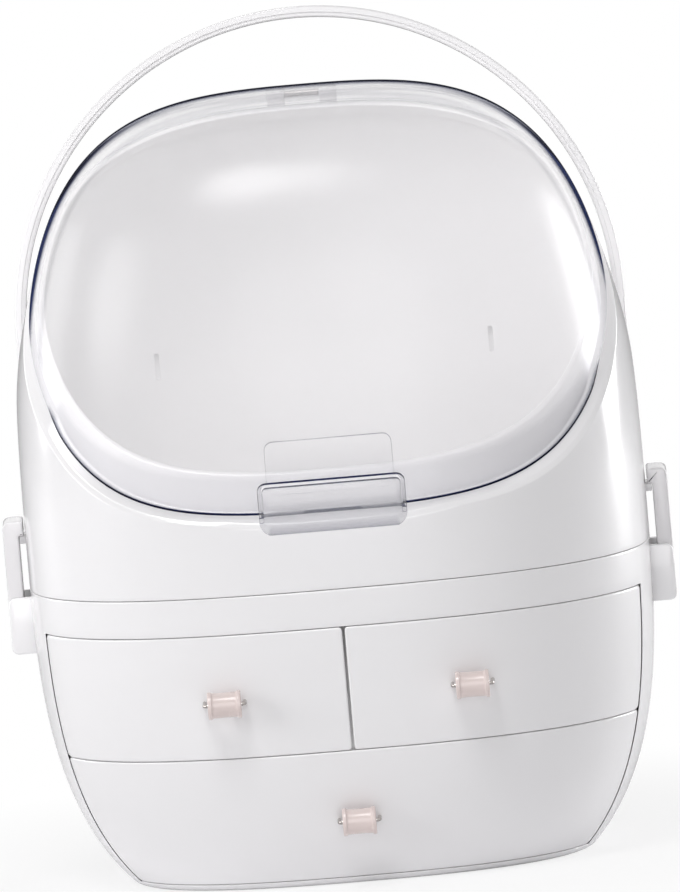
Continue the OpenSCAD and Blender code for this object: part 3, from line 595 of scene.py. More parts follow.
def upper_case(egg, c):
    """The upper cup: each column runs up the outside to the slanting rim, over its chamfer, in to the foot of
    the neck, over the neck and down the inside to the floor. Corners are rounded along the column."""
    a = egg.columns(300)
    low, floor = c.seam_z + c.seam_gap, c.seam_z + c.floor_t
    foot_drop, wall_drop, lead, fillet = 0.002, 0.008, 0.004, 0.0035
    flat = lambda y: 0.0 * y
    out, inn = (lambda z: 0 * z - c.neck_out), (lambda z: 0 * z - c.neck_in)
    z_rim = egg.meet(a, egg.case_off, flat) - c.rim_edge
    z_ledge = egg.meet(a, lambda z: egg.case_off(z) - c.rim_edge, flat)
    z_foot, z_neck = egg.meet(a, out, egg.step), egg.meet(a, out, egg.neck_rise)
    z_neck_in = egg.meet(a, inn, egg.neck_rise)
    z_foot_in = egg.meet(a, inn, flat) - c.rim_edge - foot_drop
    z_in = egg.meet(a, lambda z: egg.case_off(z) - c.wall, flat) - c.rim_edge - wall_drop

    def wall(z0, z1, depth):
        z = z0 + (z1 - z0) * np.linspace(0, 1, 34)[:, None]
        return np.stack([egg.case_off(z) - depth, z], -1)

    def step(off, z):
        return np.stack([off + 0 * a, z + 0 * a], -1)[None]

    # Rows of (off, height), each with the radius of its corner
    rows, radii = zip(
        (step(-lead, low), 0), (step(0.0, low), c.edge_r), (wall(low + 0.002, z_rim - 0.001, 0.0), 0),
        (step(egg.case_off(z_rim), z_rim), 0.0005),
        (step(egg.case_off(z_ledge) - c.rim_edge, z_ledge), 0.0006),
        (step(-c.neck_out, z_foot), 0.0008), (step(-c.neck_out, z_neck), 0.0009),
        (step(-c.neck_in, z_neck_in), 0.0009), (step(-c.neck_in, z_foot_in), 0.0015),
        (wall(z_in, floor + lead, c.wall), 0), (step(-c.wall, floor), fillet),
        (step(-c.wall - 2 * lead, floor), 0))
    grid = round_corners(np.concatenate(rows), np.repeat(radii, [len(row) for row in rows]), 4, 0.46)
    shell = egg.point(a, grid[..., 1], grid[..., 0])
    return [np.concatenate([to_pole(shell[0], (0, 0, low))[::-1], shell, to_pole(shell[-1], (0, 0, floor))])]


# ---------------------------------------------------------------- drawers


def panel(egg, left, right, z0, z1, t, f, corner):
    """A drawer front: a grid over x and z laid on the egg. Lines close to its edges sink by a quarter round,
    and the square corner cells are pressed into quarter discs."""
    th = np.linspace(0, math.pi / 2, 6)
    near = np.concatenate([f * (1 - np.cos(th)), [(f + corner) / 2, corner, 1.6 * corner]])

    def lines(n):
        mid = np.linspace(0, 1, n + 2)[1:-1]
        k = len(near)
        dist = np.concatenate([near, np.full(n, near[-1]), near[::-1]])
        share = np.concatenate([np.zeros(k), mid, np.ones(k)])
        return dist, share

    du, tu = lines(44)
    dv, tv = lines(26)
    cu = np.maximum(corner - du, 0)[None, :] / corner
    cv = np.maximum(corner - dv, 0)[:, None] / corner
    p, q = cu * np.sqrt(1 - cv ** 2 / 2), cv * np.sqrt(1 - cu ** 2 / 2)
    d = corner * (1 - np.sqrt(p ** 2 + q ** 2))
    in_u = np.where(cu > 0, corner * (1 - p), du[None, :])
    in_v = np.where(cv > 0, corner * (1 - q), dv[:, None])
    last = near[-1]
    last = near[-1]

    def lay(share, low, high, near_edge):
        """Places along one direction: those near an edge keep their distance from it."""
        inner = low + last + (high - low - 2 * last) * share
        return np.where(share <= 0, low + near_edge, np.where(share >= 1, high - near_edge, inner))

    z = lay(tv[:, None], z0, z1, in_v)
    x = lay(tu[None, :], left(z), right(z), in_u)
    deep = f - np.sqrt(np.maximum(f ** 2 - np.maximum(f - d, 0) ** 2, 0))
    face, back = egg.front(x, z, -deep), egg.front(x, z, -t * np.ones_like(x))

    def border(g):
        return np.concatenate([g[0], g[1:, -1], g[-1, ::-1][1:], g[::-1, 0][1:]])

    return [face, back, np.stack([border(face), border(back)])]


def cup(outline, z0, z1, t, r=0.002):
    """A tray: its plan outline(z, inset) carried up the outside, over a round rim and down the inside."""
    ins, down = quarter(r, 5)
    half = np.linspace(0, math.pi, 9)
    up = np.linspace(z0 + r, z1 - t / 2, 5)[1:-1]
    z = np.concatenate([z0 + down, up, z1 - t / 2 + t / 2 * np.sin(half), up[::-1], (z0 + t + down)[::-1]])
    i = np.concatenate([ins, 0 * up, t / 2 * (1 - np.cos(half)), 0 * up + t, (t + ins)[::-1]])
    loops = closed(np.stack([level(outline(h, d), h) for h, d in zip(z, i)]))
    first, last = (to_pole(loops[k], loops[k, :-1].mean(axis=0), 0.5) for k in (0, -1))
    return [np.concatenate([first[::-1], loops, last])]


def tray_outline(egg, xa, xb, back, corner, front_off):
    """Counter-clockwise plan outline of a tray between xa and xb: the egg's front, two sides, a straight back
    with round corners."""

    def at(z, d):
        x = np.linspace(xa(z) + d, xb(z) - d, 40)
        front = egg.front(x, z, front_off - 0.7 * d)[:, :2]
        y1 = back(z) - d
        r = max(corner - d, 0.0005)
        right, left = x[-1], x[0]
        side = np.linspace(0, 1, 14)[1:]
        up = np.stack([np.full(13, right), front[-1, 1] + (y1 - r - front[-1, 1]) * side], 1)
        down = np.stack([np.full(13, left), y1 - r + (front[0, 1] - y1 + r) * side], 1)[:-1]
        return np.concatenate([front, up, corner_arc(right - r, y1 - r, r, 0)[1:],
                               corner_arc(left + r, y1 - r, r, 90), down])

    return at


def upper_drawer(egg, c, d, side):
    """A small drawer on the right, or mirrored to the left."""
    half = lambda z: egg.half_w * egg.share(z) - c.frame_w - d.gap
    front = panel(egg, lambda z: d.mid_gap + 0 * z, half, d.seam_z + d.gap / 2, c.bay_top - d.gap,
                  d.front_t, d.front_edge, d.front_corner)
    z0 = d.seam_z + d.shelf_t / 2 + d.tray_gap
    x0 = d.shelf_t / 2 + d.tray_gap
    outline = tray_outline(egg, lambda z: x0, lambda z: d.tray_half_w, lambda z: d.tray_back, 0.004,
                           -d.front_t / 2)
    tray = cup(outline, z0, c.bay_top - d.tray_low, d.tray_t)
    return [g * np.array([side, 1.0, 1.0]) for g in front + tray]


def wide_drawer(egg, c, d):
    """The wide drawer at the bottom, whose tray widens towards its top."""
    half = lambda z: egg.half_w * egg.share(z) - c.frame_w - d.gap
    front = panel(egg, lambda z: -half(z), half, c.floor_t + d.gap / 2, d.seam_z - d.gap / 2,
                  d.front_t, d.front_edge, d.front_corner)
    z0 = c.floor_t + d.tray_gap
    z1 = d.seam_z - d.shelf_t / 2 - d.tray_gap - 0.001
    t = lambda z: np.clip((z - z0) / (z1 - z0), 0, 1)
    wide = lambda z: d.wide_floor_w + (d.wide_top_w - d.wide_floor_w) * t(z)
    back = lambda z: d.wide_floor_back + (d.wide_top_back - d.wide_floor_back) * t(z)
    outline = tray_outline(egg, lambda z: -wide(z), wide, back, 0.012, -d.front_t / 2)
    return front + cup(outline, z0, z1, d.tray_t)


def roller(egg, p, x, z):
    """A roller grip: its profile turned round the wire, with a hollow waist between two end bands."""
    h, r = p.length / 2, p.radius
    edge, band, slope, sink, hollow = 0.0005, 0.0016, 0.0003, 0.0004, 0.00012
    ins, down = quarter(edge)
    waist = np.linspace(-1, 1, 15)
    end = np.concatenate([
        [(-h, p.wire_r), (-h, r * 0.5)], np.stack([down - h, r - ins], 1)[:-1],
        [(edge - h, r), (band - h, r), (band + slope - h, r - sink)],
    ])
    middle = np.stack([waist * (h - band - 2 * slope), r - edge - hollow * (1 - waist ** 2)], 1)
    along, radius = np.concatenate([end, middle, (end * [-1, 1])[::-1]]).T[..., None]
    a = np.linspace(0, 2 * math.pi, 65)
    y = egg.front(x, z)[1] - p.reach
    grid = np.stack([x + along + 0 * a, y + radius * np.cos(a), z + radius * np.sin(a)], -1)
    return [np.concatenate([grid, grid[:1]])]


def wire(egg, p, d, x, z):
    """The bent wire: a circle carried along a leg, a bend, the axle, a bend and a leg."""
    y = egg.front(x, z)[1] - p.reach
    b = p.wire_gap + p.wire_r
    left, right = x - p.length / 2 - b, x + p.length / 2 + b
    end = [egg.front(v, z, -d.front_t)[1] + 0.0045 for v in (left, right)]
    u = np.linspace(0, math.pi / 2, 9)
    path = np.concatenate([
        [[left, end[0]]],
        np.stack([left + b * (1 - np.cos(u)), y + b * (1 - np.sin(u))], 1),
        np.stack([right - b * (1 - np.sin(u)), y + b * (1 - np.cos(u))], 1),
        [[right, end[1]]],
    ])
    way = np.gradient(path, axis=0)
    way /= np.linalg.norm(way, axis=1, keepdims=True)
    a = np.linspace(0, 2 * math.pi, 21)[:, None]
    side = np.stack([-way[:, 1], way[:, 0], 0 * way[:, 0]], 1)[:, None]
    centre = level(path, z)[:, None]
    grid = centre + p.wire_r * (np.cos(a) * side + np.sin(a) * np.array([0, 0, 1.0]))
    tip = [np.broadcast_to(centre[k], grid[0].shape)[None] for k in (0, -1)]
    return [np.concatenate([tip[0], grid, tip[1]])]


# ---------------------------------------------------------------- lid


def dome(egg, s):
    """The dome: columns run from the rim up the outside to the crown, with heights spread evenly along the
    side outline z = widest + reach * sin(u)^(2/n), share = cos(u)^(2/n), and back down the inside."""
    a = egg.columns(300)
    n = egg.s.high_n
    u = np.linspace(0, math.pi / 2, 4001)
    rise, width = (egg.high_r - egg.s.ledge_w) * np.sin(u) ** (2 / n), egg.half_d * np.cos(u) ** (2 / n)
    run = np.concatenate([[0], np.cumsum(np.hypot(np.diff(rise), np.diff(width)))])

    def side(off, z_edge, steps=56):
        reach = egg.high_r + off
        u0 = np.arcsin(np.clip((z_edge - egg.s.mid_z) / reach, 0, 1) ** (n / 2))
        r0 = np.interp(u0, u, run)
        t = np.linspace(0, 1, steps)[:, None]
        v = np.interp(r0 + (run[-1] - r0) * t, run, u)
        return egg.at_share(a, egg.s.mid_z + reach * np.sin(v) ** (2 / n), off, np.cos(v) ** (2 / n))

    lid_out = -egg.s.ledge_w
    lid_in = lid_out - s.lid_t
    r = s.lid_t / 2
    seat = lambda y: egg.step(y) + s.gap
    z_out = egg.meet(a, lambda z: 0 * z + lid_out, seat)
    z_in = egg.meet(a, lambda z: 0 * z + lid_in, seat)
    half = np.linspace(0, math.pi, 9)[:, None]
    t = (1 - np.cos(half)) / 2
    z = z_in + (z_out - z_in) * t + 0.45 * r * (1 - np.sin(half))
    edge = egg.point(a, z, lid_in + (lid_out - lid_in) * t)
    lip = egg.point(a, z_out + np.array([0.0009, LIP_H - LIP_FADE, LIP_H])[:, None], lid_out)
    outer, inner = side(lid_out, z_out + 0.0024), side(lid_in, z_in + 0.001)
    return [np.concatenate([inner[::-1], edge, lip, outer])]


def lid_marks(egg, s, points):
    """What the clear material reads at each point of the lid. inner is 1 on the inside of the dome. rim is
    the painted dark: 1 on the outer lower edge, a painted dark line; less over the neck, where painted shade
    stands for the shade of the lid's wall; and on the edges of the grip and the plate, painted dark lines.
    turn is the least cosine at which the surface looks clear, the root of 2 * width of the painted dark
    outline * curvature.
    With G = A^m + B^m, where A is the plan share and B the share of the height, the curvature is how fast
    the unit gradient of G turns along Y."""
    n, m = egg.s.plan_n, egg.s.high_n
    x, y, z = points.T
    middle = -egg.s.ledge_w - s.lid_t / 2

    def shares(p, off):
        w, d, h = egg.half_w + off, egg.half_d + off, egg.high_r + off
        plan = (np.abs(p[:, 0]) / w) ** n + (np.abs(p[:, 1]) / d) ** n
        return plan ** (1 / n), np.maximum(p[:, 2] - egg.s.mid_z, 0) / h, w, d, h

    def normal(p):
        a, b, w, d, h = shares(p, middle)
        lift = np.maximum(a, 1e-6) ** (m - n)
        g = np.stack([lift * spow(p[:, 0] / w, n - 1) / w, lift * spow(p[:, 1] / d, n - 1) / d,
                      b ** (m - 1) / h], 1)
        return g / np.linalg.norm(g, axis=1, keepdims=True)

    def beyond(off):
        """G - 1, which is above 0 outside the surface."""
        a, b = shares(points, off)[:2]
        return a ** m + b ** m - 1

    here, hop = normal(points), 0.001
    along = np.array([0.0, 1.0, 0.0]) - here[:, 1:2] * here
    along /= np.maximum(np.linalg.norm(along, axis=1, keepdims=True), 1e-6)
    change = normal(points + hop * along) - normal(points - hop * along)
    bend = np.clip(np.abs((change * along).sum(axis=1)) / (2 * hop), 1.5, 60)
    inner = np.clip(0.5 - 25 * beyond(middle), 0, 1)
    proud = (beyond(0.0004 - egg.s.ledge_w) > 0) & (y < 0)
    turn = np.where(proud, s.grip_line, np.sqrt(2 * s.painted_outline_w * bend))
    # Painted dark line along the outer lower edge, fading out behind the steps
    height = z - egg.rim(y) - egg.step(y) - s.gap
    edge = np.clip((LIP_H - height) / LIP_FADE, 0, 1) * (y > egg.rim_y - 0.0002)
    edge = edge * (1 - smooth((y + egg.s.step_y) / 0.006))
    # Painted shade on the strip of the lid over the neck
    band = s.neck_painted_shade * np.clip(1 + (egg.neck_rise(y) - 0.0005 - height) / 0.0008, 0, 1) * (y < 0.02)
    grip_z = egg.s.rim_front_z - s.grip_drop
    # Painted dark lines along the lower edge of the grip and round the plate
    lip = np.clip(1 - (z - grip_z) / 0.0011, 0, 1) * proud
    half_w, half_h = s.plate_w / 2, (s.plate_h + PLATE_ROOT) / 2
    plate_z = grip_z + s.grip_h + s.plate_h - half_h
    over = np.stack([np.abs(x) - half_w, np.abs(z - plate_z) - half_h], 1) + PLATE_CORNER
    out = np.linalg.norm(np.maximum(over, 0), axis=1) + np.minimum(over.max(axis=1), 0) - PLATE_CORNER
    plate = (np.abs(out) < 0.00025) & (y < egg.rim_y - s.plate_out + 0.0008) & (z > grip_z + s.grip_h)
    # All the painted dark: the lower edge line, the painted shade over the neck, and the edges of the grip
    # and the plate
    rim = np.maximum(np.maximum(edge, band) * (1 - inner), GRIP_EDGE_PAINTED_DARK * np.maximum(lip, plate))
    return {"inner": inner, "turn": turn, "rim": rim}


def grip_shell(egg, s):
    """The finger grip, a cup upside down: its plan outline carried from the lower edge up the outside, over a
    round shoulder to the top, with the inside a wall's thickness away."""
    y0, y1 = -egg.half_d - s.grip_out, egg.rim_y + 0.0021
    z0 = egg.s.rim_front_z - s.grip_drop
    z1 = z0 + s.grip_h
    w, r, t = s.grip_w / 2, s.grip_r, s.grip_wall
    base = box_outline(-w, w, y0, y1, 0.0052, 10)
    base = np.concatenate([np.linspace(p, q, 5)[:-1] for p, q in zip(base, np.roll(base, -1, 0))])
    lower = z0 + r - np.sqrt(np.maximum(r ** 2 - np.maximum(np.abs(base[:, 0]) - w + r, 0) ** 2, 0))
    shoulder = 0.0036

    def loops(inward, top, rs):
        ins, down = quarter(rs, 8)
        flat = inset(base, inward)
        rows = [level(flat, lower + 0.0004)]
        rows += [level(flat, lower + (top - rs - lower) * k) for k in (0.25, 0.5, 0.75)]
        rows += [level(inset(base, inward + i), top - d) for i, d in zip(ins[::-1], down[::-1])]
        return np.stack(rows)

    outside, inside = loops(0.0, z1, shoulder), loops(t, z1 - t, shoulder - 0.75 * t)
    lip = level(inset(base, t / 2), lower)[None]
    roof, ceiling = (to_pole(loop, (0, (y0 + y1) / 2, loop[0, 2]), 0.6) for loop in (outside[-1], inside[-1]))
    return [closed(np.concatenate([ceiling[::-1], inside[::-1], lip, outside, roof]))]


def build_lid(egg, s):
    """The dome united with its grip, plate and middle hinge barrel."""
    lid, grip = piece("clear_lid", dome(egg, s)), piece("grip", grip_shell(egg, s))
    below = box_outline(-0.2, 0.2, -egg.half_d - 0.0008, 0.2, 0)
    combine(grip, piece("low", *bar(below, "Z", 0.1, egg.s.rim_front_z + s.gap, 0)), "DIFFERENCE")
    combine(lid, grip, "UNION")
    top = egg.s.rim_front_z - s.grip_drop + s.grip_h
    plate = box_outline(-s.plate_w / 2, s.plate_w / 2, top - PLATE_ROOT, top + s.plate_h, PLATE_CORNER, 8)
    y, z, mid = s.hinge_y, s.hinge_z, s.barrel_mid
    web = [(y, z + WEB_OFF), (y - 0.001, z + 0.0012), (s.rim_back_y - 0.0045, s.rim_back_z + 0.0026)]
    for name, part in (("plate", bar(plate, "Y", egg.rim_y - s.plate_out, egg.rim_y + 0.0012, 0.0006)),
                       ("barrel", bar(circle(y, z, s.barrel_r, 64), "X", -mid, mid)),
                       ("web", bar(hull2(web, WEB_R), "X", -mid, mid))):
        combine(lid, piece(name, *part), "UNION")
    return lid


def hull2(centres, r, n=24):
    """The outline round some circles of one radius: the convex hull of their points."""
    points = np.concatenate([circle(*p, r, n) for p in centres])
    order = points[np.lexsort((points[:, 1], points[:, 0]))]

    def chain(row):
        out = []
        for p in row:
            while len(out) > 1 and np.cross(out[-1] - out[-2], p - out[-1]) <= 0:
                out.pop()
            out.append(p)
        return out[:-1]

    return np.array(chain(order) + chain(order[::-1]))


# ---------------------------------------------------------------- handle and latches


def handle(egg, h):
    """The band: a stepped profile carried along an arm, a half circle and an arm, then leant back."""
    inner, arm_len = egg.bow(h)
    t, w = h.band_t / 2, h.band_w / 2
    step, low = -0.1 * h.band_t, w - 0.0007
    profile = round_corners(
        [(t, -w), (t, w), (step, w), (step, low), (-t, low), (-t, -low), (step, -low), (step, -w)],
        [0.0009, 0.0009, 0.0002, 0.0002, 0.0008, 0.0008, 0.0002, 0.0002])
    radius = inner + t
    bend = np.linspace(0, math.pi, 129)
    arm = np.linspace(0, arm_len, 17)[:-1]
    x = np.concatenate([np.full(16, radius), radius * np.cos(bend), np.full(16, -radius)])
    z = np.concatenate([arm, arm_len + radius * np.sin(bend), arm[::-1]])
    nx = np.concatenate([np.ones(16), np.cos(bend), -np.ones(16)])
    nz = np.concatenate([np.zeros(16), np.sin(bend), np.zeros(16)])
    n, y = profile.T
    x, z, nx, nz = (v[:, None] for v in (x, z, nx, nz))
    band = np.stack(np.broadcast_arrays(x + nx * n, y, z + nz * n), -1)
    grids, caps = [closed(band)], [band[0], band[-1]]
    for side in (-1, 1):
        g, e = bar(circle(0, 0, h.end_r, 64), "X", side * inner, side * (inner + h.band_t), 0.0009, 6)
        grids, caps = grids + g, caps + e
    return [lean(g, h) for g in grids], [lean(g, h) for g in caps]


def lean(points, h):
    """Turns points about the pivots: y = py + y cos + z sin, z = pz - y sin + z cos."""
    s, c = math.sin(h.tilt), math.cos(h.tilt)
    x, y, z = np.moveaxis(points, -1, 0)
    return np.stack([x, h.pivot_y + y * c + z * s, h.pivot_z - y * s + z * c], -1)


def latch(egg, l, side):
    """A latch: its outline of barrel, strip and hook carried across its width."""
    inn = egg.half_w + l.gap
    out, top = inn + l.strip_t, l.pin_z + l.height
    cx = inn + l.strip_t / 2 - 0.001
    start = math.pi - math.acos((cx - inn) / l.barrel_r)
    a = np.linspace(start, 2 * math.pi, 40)
    barrel = np.stack([cx + l.barrel_r * np.cos(a), l.pin_z + l.barrel_r * np.sin(a)], 1)
    rest = round_corners([
        (out, l.pin_z + 0.002), (out, top), (egg.half_w + 0.0008, top), (egg.half_w + 0.0008, top - l.hook_h),
        (inn, top - l.hook_h), (inn, l.pin_z + 0.009)], [0, 1.2 * l.top_r, 0.0014, 0.0006, 0.0006, 0], 8)
    outline = np.concatenate([barrel, rest])
    grids, caps = bar(outline, "Y", -l.width / 2, l.width / 2, 0.0009, 6)
    mirror = np.array([side, 1.0, 1.0])
    return [g * mirror for g in grids], [e * mirror for e in caps]


def fittings(egg, c, l, h, s):
    """Grids and caps of what is moulded on the cases: ears, catches, bosses and outer hinge barrels."""
    lower, upper = ([], []), ([], [])

    def add(to, outline, axis, a0, a1, r=0.0004):
        g, e = bar(outline, axis, a0, a1, r)
        to[0].extend(g)
        to[1].extend(e)

    ear_y, root_x = l.width / 2 + s.seat, egg.half_w - 0.0013
    top, low = c.seam_z - l.ear_gap, l.pin_z - l.ear_drop
    ear = np.concatenate([corner_arc(egg.half_w + l.gap + l.strip_t - l.ear_r, z, l.ear_r, start, 8)
                          for z, start in ((low + l.ear_r, -90), (top - l.ear_r, 0))]
                         + [np.array([(root_x, top), (root_x, low)])])
    catch_z = l.pin_z + l.height - l.hook_h - l.catch_h - s.seat
    boss_in = egg.side(h.pivot_y, h.pivot_z) - c.wall - 0.004
    root = egg.point(math.pi / 2, np.array(s.rim_back_z - 0.0065), -egg.s.ledge_w - c.wall)
    web = [(s.hinge_y, s.hinge_z - WEB_OFF), (root[1] + 0.0012, root[2]),
           (s.hinge_y + 0.001, s.hinge_z - 0.001)]
    for side in (-1, 1):
        for j in (-1, 1):
            add(lower, ear * np.array([side, 1.0]), "Y", j * ear_y, j * (ear_y + l.ear_t), 0.0008)
        x0, x1 = sorted((side * root_x, side * (egg.half_w + l.gap - s.seat)))
        add(upper, box_outline(x0, x1, catch_z, catch_z + l.catch_h, 0.0004), "Y", -l.width / 2 + 0.003,
            l.width / 2 - 0.003)
        add(upper, circle(h.pivot_y, h.pivot_z, h.end_r - 0.001), "X", side * boss_in,
            side * (egg.bow(h)[0] - s.seat))
        start = side * (s.barrel_mid + s.seat)
        add(upper, circle(s.hinge_y, s.hinge_z, s.barrel_r), "X", start, start + side * s.barrel_side)
        add(upper, hull2(web, WEB_R), "X", start, start + side * s.barrel_side)
    return lower, upper


# ---------------------------------------------------------------- materials


class Graph:
    """The nodes of a material, a group or a world, which start empty."""

    def __init__(self, tree):
        self.nodes, self.links = tree.nodes, tree.links
        self.nodes.clear()

    def add(self, kind, inputs=(), **settings):
        """A shader node with its settings. Each input gets a value, or a link from the output of a node."""
        node = self.nodes.new(f"ShaderNode{kind}")
        for name, value in settings.items():
            setattr(node, name, value)
        for name, value in dict(inputs).items():
            if isinstance(value, bpy.types.NodeSocket):
                self.links.new(value, node.inputs[name])
            else:
                node.inputs[name].default_value = value
        return node

    def calc(self, operation, a, b):
        """What a Math node makes of two values, each a number or the output of a node."""
        return self.add("Math", {0: a, 1: b}, operation=operation).outputs[0]

    def mix(self, share, a, b):
        """Shader a, with a share of shader b."""
        return self.add("MixShader", {0: share, 1: a.outputs[0], 2: b.outputs[0]}).outputs[0]


def new_material(name):
    """An empty node material."""
    material = bpy.data.materials.new(name)
    material.use_nodes = True
    return material, Graph(material.node_tree)


def moulded_group():
    """The look of moulded plastic: a faint cloud in the colour, uneven gloss and the grain of the mould."""
    group = bpy.data.node_groups.new("Moulded plastic", "ShaderNodeTree")
    graph, face = Graph(group), group.interface
    for name, kind, value in (
            ("Color", "Color", (0.8, 0.8, 0.8, 1)), ("Cloud", "Float", 0.02), ("Roughness", "Float", 0.2),
            ("Spread", "Float", 0.05), ("Grain", "Float", 0.1)):
        face.new_socket(name=name, in_out="INPUT", socket_type=f"NodeSocket{kind}").default_value = value
    for name, kind in (("Color", "Color"), ("Roughness", "Float"), ("Normal", "Vector")):
        face.new_socket(name=name, in_out="OUTPUT", socket_type=f"NodeSocket{kind}")
    given, out = group.nodes.new("NodeGroupInput").outputs, group.nodes.new("NodeGroupOutput").inputs
    place = graph.add("TexCoord").outputs["Object"]

    def noise(scale, detail):
        return graph.add("TexNoise", {"Vector": place, "Scale": scale, "Detail": detail}).outputs["Fac"]

    def ranged(value, low, high):
        return graph.add("MapRange", {"Value": value, "To Min": low, "To Max": high}).outputs["Result"]

    cloud = ranged(noise(14.0, 3.0), graph.calc("SUBTRACT", 1.0, given["Cloud"]), 1.0)
    tint = graph.add("VectorMath", {0: given["Color"], "Scale": cloud}, operation="SCALE")
    spread = graph.calc("MULTIPLY", ranged(noise(55.0, 4.0), -1.0, 1.0), given["Spread"])
    bump = graph.add("Bump", {"Distance": 0.00003, "Strength": given["Grain"], "Height": noise(110.0, 2.0)})
    gloss = graph.calc("ADD", given["Roughness"], spread)
    for name, value in (("Color", tint.outputs[0]), ("Roughness", gloss), ("Normal", bump.outputs["Normal"])):
        group.links.new(value, out[name])
    return group


def plastic(name, group, tint, roughness, cloud, spread, grain, more):
    """A Principled material fed by the moulded plastic group."""
    graph = new_material(name)[1]
    look = graph.add("Group", {"Color": (*tint, 1), "Cloud": cloud, "Roughness": roughness, "Spread": spread,
                               "Grain": grain}, node_tree=group).outputs
    shader = graph.add("BsdfPrincipled", {"Base Color": look["Color"], "Roughness": look["Roughness"],
                                          "Normal": look["Normal"], **more})
    graph.add("OutputMaterial", {"Surface": shader.outputs[0]})


def clear_material(name, tint, edge):
    """Clear plastic: light passes straight through its thin wall. It mirrors more where it is seen edge-on.
    There a thin painted dark blue line follows its outline and a fainter painted one its inside: a painted
    dark reflection of the wall seen edge-on."""
    graph = new_material(name)[1]
    calc = graph.calc
    facing = graph.add("LayerWeight", {"Blend": 0.5}).outputs["Facing"]

    def rest(value):
        return calc("SUBTRACT", 1.0, value)

    def mark(attribute):
        return graph.add("Attribute", attribute_name=attribute).outputs["Fac"]

    def ramp(value, stops):
        """A ramp of greys over a value."""
        node = graph.add("ValToRGB", {"Fac": value})
        bands = node.color_ramp.elements
        bands[0].position, bands[1].position = stops[0][0], stops[-1][0]
        for position, _ in stops[1:-1]:
            bands.new(position)
        for band, (_, grey) in zip(bands, stops):
            band.color = (grey, grey, grey, 1)
        return node.outputs["Color"]

    lit = rest(graph.add("LightPath").outputs["Is Shadow Ray"])
    # Painted dark reflection: a dark line along the outline where the surface turns edge-on, and a fainter
    # line on the inside
    ratio = calc("DIVIDE", rest(facing), calc("MULTIPLY", mark("turn"), 4.0))
    outline = ramp(ratio, [(0.0, 1.0), (0.20, 1.0), (0.30, 0.08), (0.36, 0.0), (1.0, 0.0)])
    inside = ramp(ratio, [(0.0, 0.0), (0.30, 0.0), (0.37, 0.22), (0.44, 0.0), (1.0, 0.0)])
    inner = mark("inner")
    dark = calc("ADD", calc("MULTIPLY", outline, rest(inner)), calc("MULTIPLY", inside, inner))
    # The painted dark lines and painted shade of the lid's marks join the painted outline, except for shadow
    # rays
    dark = calc("MULTIPLY", calc("MAXIMUM", dark, mark("rim")), lit)
    hue = graph.add("Mix", data_type="RGBA")
    hue.inputs["A"].default_value, hue.inputs["B"].default_value = (*tint, 1), (*edge, 1)
    graph.links.new(dark, hue.inputs["Factor"])
    clear = graph.add("BsdfTransparent", {"Color": hue.outputs["Result"]})
    gloss = graph.add("BsdfPrincipled", {"Base Color": hue.outputs["Result"], "Roughness": 0.27, "IOR": 2.0})
    mirror = ramp(facing, [(0.0, 0.14), (0.6, 0.17), (0.85, 0.26), (1.0, 0.36)])
    mirror = calc("MULTIPLY", mirror, rest(calc("MULTIPLY", dark, 0.85)))
    graph.add("OutputMaterial", {"Surface": graph.mix(calc("MULTIPLY", mirror, lit), clear, gloss)})


# ---------------------------------------------------------------- operators


def settings(context, *keys):
    """The egg, and the property groups of the scene that are asked for."""
    scene = context.scene
    return (Egg(scene.organizer_egg), *(getattr(scene, f"organizer_{key}") for key in keys))


class ORGANIZER_OT_materials(bpy.types.Operator):
    """Makes the materials and gives the CAD nodes that stay theirs"""

    bl_idname = "organizer.materials"
    bl_label = "Materials"

    def execute(self, context):
        f = context.scene.organizer_finish
        group = moulded_group()
        coat = lambda weight, roughness: {"Coat Weight": weight, "Coat Roughness": roughness}
        for name, tint, roughness, cloud, spread, grain, more in (
                ("gloss_white", f.shell, 0.17, 0.015, 0.03, 0.10, coat(0.35, 0.06)),
                # Its colour is painted light, a lighter copy of the cases' white
                ("satin_white", f.inside, 0.30, 0.02, 0.05, 0.2, {}),
                ("latch_white", f.latch, 0.2, 0.015, 0.04, 0.15, coat(0.3, 0.08)),
                ("pale_pink", f.roller, 0.28, 0.03, 0.05, 0.25, coat(0.3, 0.12)),
                ("bright_metal", f.metal, 0.2, 0.03, 0.06, 0.1, {"Metallic": 1.0})):
            plastic(name, group, tint, roughness, cloud, spread, grain, more)
        clear_material("clear_plastic", f.clear, f.lid_edge_painted_dark)
        for node, look in NODE_LOOKS.items():
            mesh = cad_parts[node].data
            mesh.materials.clear()
            mesh.materials.append(bpy.data.materials[look])
        return {"FINISHED"}


